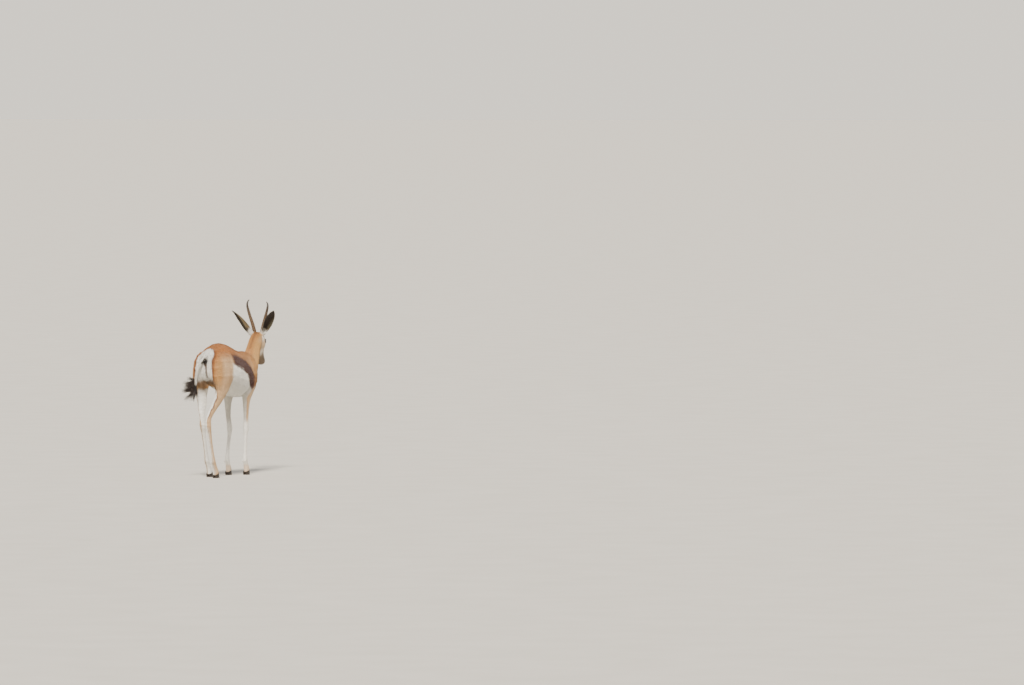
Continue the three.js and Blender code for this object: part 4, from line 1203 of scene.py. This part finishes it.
# Bare lid skin, near black and a little moist: a soft low highlight along the edge of the lid
lidSkin, lidSurface = startMaterial("bare dark lid skin", Roughness=0.38, Specular_IOR_Level=0.45)
lidCreases = noise(lidSkin, objectPlace(lidSkin), 700.0, 3.0)
lidTone = colourRamp(lidSkin, lidCreases, [(0.3, "0f0b0a"), (0.7, "2a211d")])
plugIn(lidSkin, lidSurface, lidTone, lidCreases, 0.4, 0.0003)

lidWork = {
    "long": 14.4, "high": 9.6, "corner": 11, "inner": 0.4, "arch": 1.25, "droop": 2, "steps": 26,
    "roll": 1.15, "sides": 10, "lashes": 132, "lashLong": (5, 9), "lashWide": 0.42, "lashDroop": 0.35,
}


def bezier(a, b, c, d, count):
    t = np.linspace(0, 1, count, endpoint=False)[:, None]
    a, b, c, d = (np.array(p, float) for p in (a, b, c, d))
    return (1 - t) ** 3 * a + 3 * (1 - t) ** 2 * t * b + 3 * (1 - t) * t**2 * c + t**3 * d


def lidEdge(side):
    # the almond between the lids, laid on a ball just outside the eye
    w = lidWork
    low = (w["long"], -side * w["droop"])
    back, inner, arch = (-w["long"], 0), w["corner"] * w["inner"], w["high"] * w["arch"]
    upper = bezier(back, (-w["corner"], w["high"]), (inner, arch), low, w["steps"])
    lower = bezier(low, (inner, -arch), (-w["corner"], -w["high"]), back, w["steps"])
    flat = np.concatenate([upper, lower])
    centre, out, nose, upward = eyeAxes(side)
    radius = eyeWork["radius"] + 0.5
    reach = np.minimum(np.hypot(flat[:, 0], flat[:, 1]), radius * 0.995)
    depth = np.sqrt(radius**2 - reach**2)
    return centre + flat[:, :1] * nose + flat[:, 1:] * upward + depth[:, None] * out


def lidRim(name, side):
    line = lidEdge(side)
    tangent = unit(np.roll(line, -1, 0) - np.roll(line, 1, 0))
    outward = unit(line - eyeAxes(side)[0])
    across = unit(np.cross(tangent, outward))
    angle = roundAngles(lidWork["sides"])
    rings = line[:, None] + lidWork["roll"] * (
        np.cos(angle)[None, :, None] * across[:, None] * 1.5 + np.sin(angle)[None, :, None] * outward[:, None]
    )
    faces = ringFaces(len(line), lidWork["sides"], closed=True)
    made = addObject(name, meshFrom(name, metres(rings.reshape(-1, 3)), faces), lidSkin)
    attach(made, "root")
    return line


def lashes(name, side, line, draw):
    # lashes stand along the upper lid only
    centre = eyeAxes(side)[0]
    outward = unit(line - centre)
    height = (line - centre) @ headUp
    picks = np.flatnonzero(height > np.percentile(height, 55))
    chosen = picks[draw.integers(0, len(picks), lidWork["lashes"])]
    count = len(chosen)
    root = line[chosen] + outward[chosen] * 0.6 + draw.normal(0, 0.35, (count, 3))
    fan = 0.25 * (line[chosen] - line.mean(0)) / 10
    heading = unit(outward[chosen] + 0.45 * headUp + fan + draw.normal(0, 0.08, (count, 3)))
    length = draw.uniform(*lidWork["lashLong"], count) / 1000
    width, droop = np.full(count, lidWork["lashWide"] / 1000), np.full(count, lidWork["lashDroop"])
    rows, faces = hairStrands(metres(root), heading, length, width, droop, 4)
    mesh = tuftMesh(name, rows, faces, np.tile(tints["black"], (count, 1)), np.full((count, 2), 0.93), draw)
    made = addObject(name, mesh, tailHair)
    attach(made, "root")


for name, side in (("left", 1), ("right", -1)):
    lashes(f"lashes_{name}", side, lidRim(f"lid_rim_{name}", side), np.random.default_rng(5 + side))
report("eyes and lids built")


# Horns: ringed below, smooth at the tip
hornWork = {
    "root": (34, 42),
    "line": [
        (19, -4, -12), (23, 3, 20), (30, 12, 58), (42, 23, 102), (54, 31, 145), (62, 33, 181), (61, 27, 203),
        (53, 20, 217),
    ],
    "base": 12.8, "tip": 2.2, "taper": 0.66, "deeper": 1.12, "rings": 13, "ringed": 0.6, "ringHeight": 1.6,
    "steps": 300, "sides": 40, "sunk": 0.3, "point": 1.2,
    "shares": {"left": 1.0, "right": 0.94},
}


# Horn keratin: grey-brown, darker towards the tip, with fine growth lines round it that dull the highlight.
# The lines are really 0.4 mm apart; they are drawn 1.2 mm apart so that they show.
def hornMaterial():
    material, surface = startMaterial(
        "ringed horn keratin, grown in layers", Roughness=0.46, Specular_IOR_Level=0.45,
    )
    tint = addNode(material, "ShaderNodeAttribute", {"attribute_name": "coatTint"}).outputs["Color"]
    stretch = {"Vector": objectPlace(material), "Scale": (60.0, 60.0, 830.0)}
    place = addNode(material, "ShaderNodeMapping", inputs=stretch).outputs[0]
    lines = noise(material, place, 1.0, 4.0, Roughness=0.6)
    worn = multiplied(material, tint, remapped(material, lines, 0.3, 0.7, 0.72, 1.22))
    return plugIn(material, surface, worn, lines, 0.6, 0.0004)


def hornPiece(name, side, share, material):
    w = hornWork
    root = onHead(*w["root"], 0)
    knots = [
        root + headSide * side * out + headBack * back * share + np.array([0, 0, rise * share])
        for out, back, rise in w["line"]
    ]
    steps, sides = w["steps"], w["sides"]
    line = curveThrough(knots, steps)
    t = np.linspace(0, 1, steps)
    plain = w["tip"] + (w["base"] - w["tip"]) * (1 - t) ** w["taper"]
    turn = t / w["ringed"] * w["rings"]
    beat = np.mod(turn, 1)
    swell = np.where(t < w["ringed"], np.exp(-(((beat - 0.6) / 0.2) ** 2)), 0)
    inner = plain - w["sunk"]
    radius = inner + swell * w["ringHeight"] * (1 - 0.55 * t)
    tangent = unit(np.gradient(line, axis=0))
    left = np.array([0.0, 1.0, 0.0])
    left = unit(left - tangent * (tangent @ left)[:, None])
    front = np.cross(left, tangent)
    angle = roundAngles(sides)
    # the rings stand out most in front and fade at the back
    lean = 0.75 + 0.25 * np.cos(angle - math.pi / 2)
    spread = inner[:, None] + (radius - inner)[:, None] * lean[None]
    rings = line[:, None] + np.cos(angle)[None, :, None] * left[:, None] * spread[..., None]
    rings += np.sin(angle)[None, :, None] * front[:, None] * (spread * w["deeper"])[..., None]
    points = np.concatenate([rings.reshape(-1, 3), line[:1], line[-1:] + tangent[-1:] * w["point"]])
    mesh = meshFrom(name, metres(points), ringFaces(steps, sides) + endFans(steps, sides))
    tone = tints["hornBase"] + (tints["hornTip"] - tints["hornBase"]) * ramp(0.3, 0.85, t)[:, None]
    tone = tone * (0.72 + 0.5 * swell)[:, None]
    tones = np.concatenate([np.repeat(tone, sides, 0), tone[:1], tone[-1:]])
    setAttribute(mesh, "coatTint", "FLOAT_COLOR", withAlpha(tones))
    # the faces may run either way round, so they are all turned outwards
    work = bmesh.new()
    work.from_mesh(mesh)
    bmesh.ops.recalc_face_normals(work, faces=work.faces)
    work.to_mesh(mesh)
    work.free()
    made = addObject(name, mesh, material)
    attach(made, "root")
    return made


keratin = hornMaterial()
for name, side in (("left", 1), ("right", -1)):
    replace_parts(hornPiece(f"horn_shell_{name}", side, hornWork["shares"][name], keratin), f"horn_{name}")
report("horns built")


# Hooves stay as the solids. Their worn horn is black-brown and dulled by dust, with a fine upright grain
# drawn 2 mm wide.
hoofHorn, hoofSurface = startMaterial("worn hoof horn", Roughness=0.5, Specular_IOR_Level=0.45)
hoofStretch = {"Vector": objectPlace(hoofHorn), "Scale": (500.0, 500.0, 60.0)}
hoofPlace = addNode(hoofHorn, "ShaderNodeMapping", inputs=hoofStretch).outputs[0]
hoofLines = noise(hoofHorn, hoofPlace, 1.0, 4.0)
hoofTone = colourRamp(hoofHorn, hoofLines, [(0.3, "17120f"), (0.55, "2b231e"), (0.8, "453a31")])
plugIn(hoofHorn, hoofSurface, hoofTone, hoofLines, 0.35, 0.0004)
for name, node in nodes.items():
    if name.startswith("hoof_"):
        node.data.materials.clear()
        node.data.materials.append(hoofHorn)

# Floor and light
stageSpec = {
    "floor": 1500, "horizonColour": "d9d2c5", "airColour": "97999d", "worldStrength": 1.82,
    "sun": 6.0, "spread": 11, "from": (-0.7, -0.2, 0.68),
}


def plainStage(spec):
    half = spec["floor"] / 2
    square = [(-half, -half, 0), (half, -half, 0), (half, half, 0), (-half, half, 0)]
    mesh = meshFrom("floor", square, [(0, 1, 2), (0, 2, 3)])
    paper, surface = startMaterial("matt studio floor", Roughness=0.9)
    grain = noise(paper, objectPlace(paper), 3.0, 3.0)
    plugIn(paper, surface, colourRamp(paper, grain, [(0.3, "d6cfc1"), (0.7, "dcd5c8")]))
    floor = addObject("floor", mesh, paper)
    # the air is as pale as the far floor at the horizon and dimmer overhead, so the shadows keep their form
    world = bpy.data.worlds.new("studio")
    world.use_nodes = True
    tree = world.node_tree
    height = tree.nodes.new("ShaderNodeSeparateXYZ")
    tree.links.new(tree.nodes.new("ShaderNodeTexCoord").outputs["Generated"], height.inputs[0])
    fade = tree.nodes.new("ShaderNodeValToRGB")
    tree.links.new(height.outputs["Z"], fade.inputs["Fac"])
    setStops(fade, [(0.0, spec["horizonColour"]), (0.08, spec["horizonColour"]), (0.4, spec["airColour"])])
    tree.links.new(fade.outputs["Color"], tree.nodes["Background"].inputs["Color"])
    tree.nodes["Background"].inputs["Strength"].default_value = spec["worldStrength"]
    scene.world = world
    lamp = bpy.data.lights.new("softKey", "SUN")
    lamp.energy, lamp.angle = spec["sun"], math.radians(spec["spread"])
    lamp.color = (1.0, 0.95, 0.87)
    key = bpy.data.objects.new("softKey", lamp)
    key.rotation_mode = "QUATERNION"
    key.rotation_quaternion = Vector(spec["from"]).to_track_quat("Z", "Y")
    scene.collection.objects.link(key)


plainStage(stageSpec)
report("stage lit")
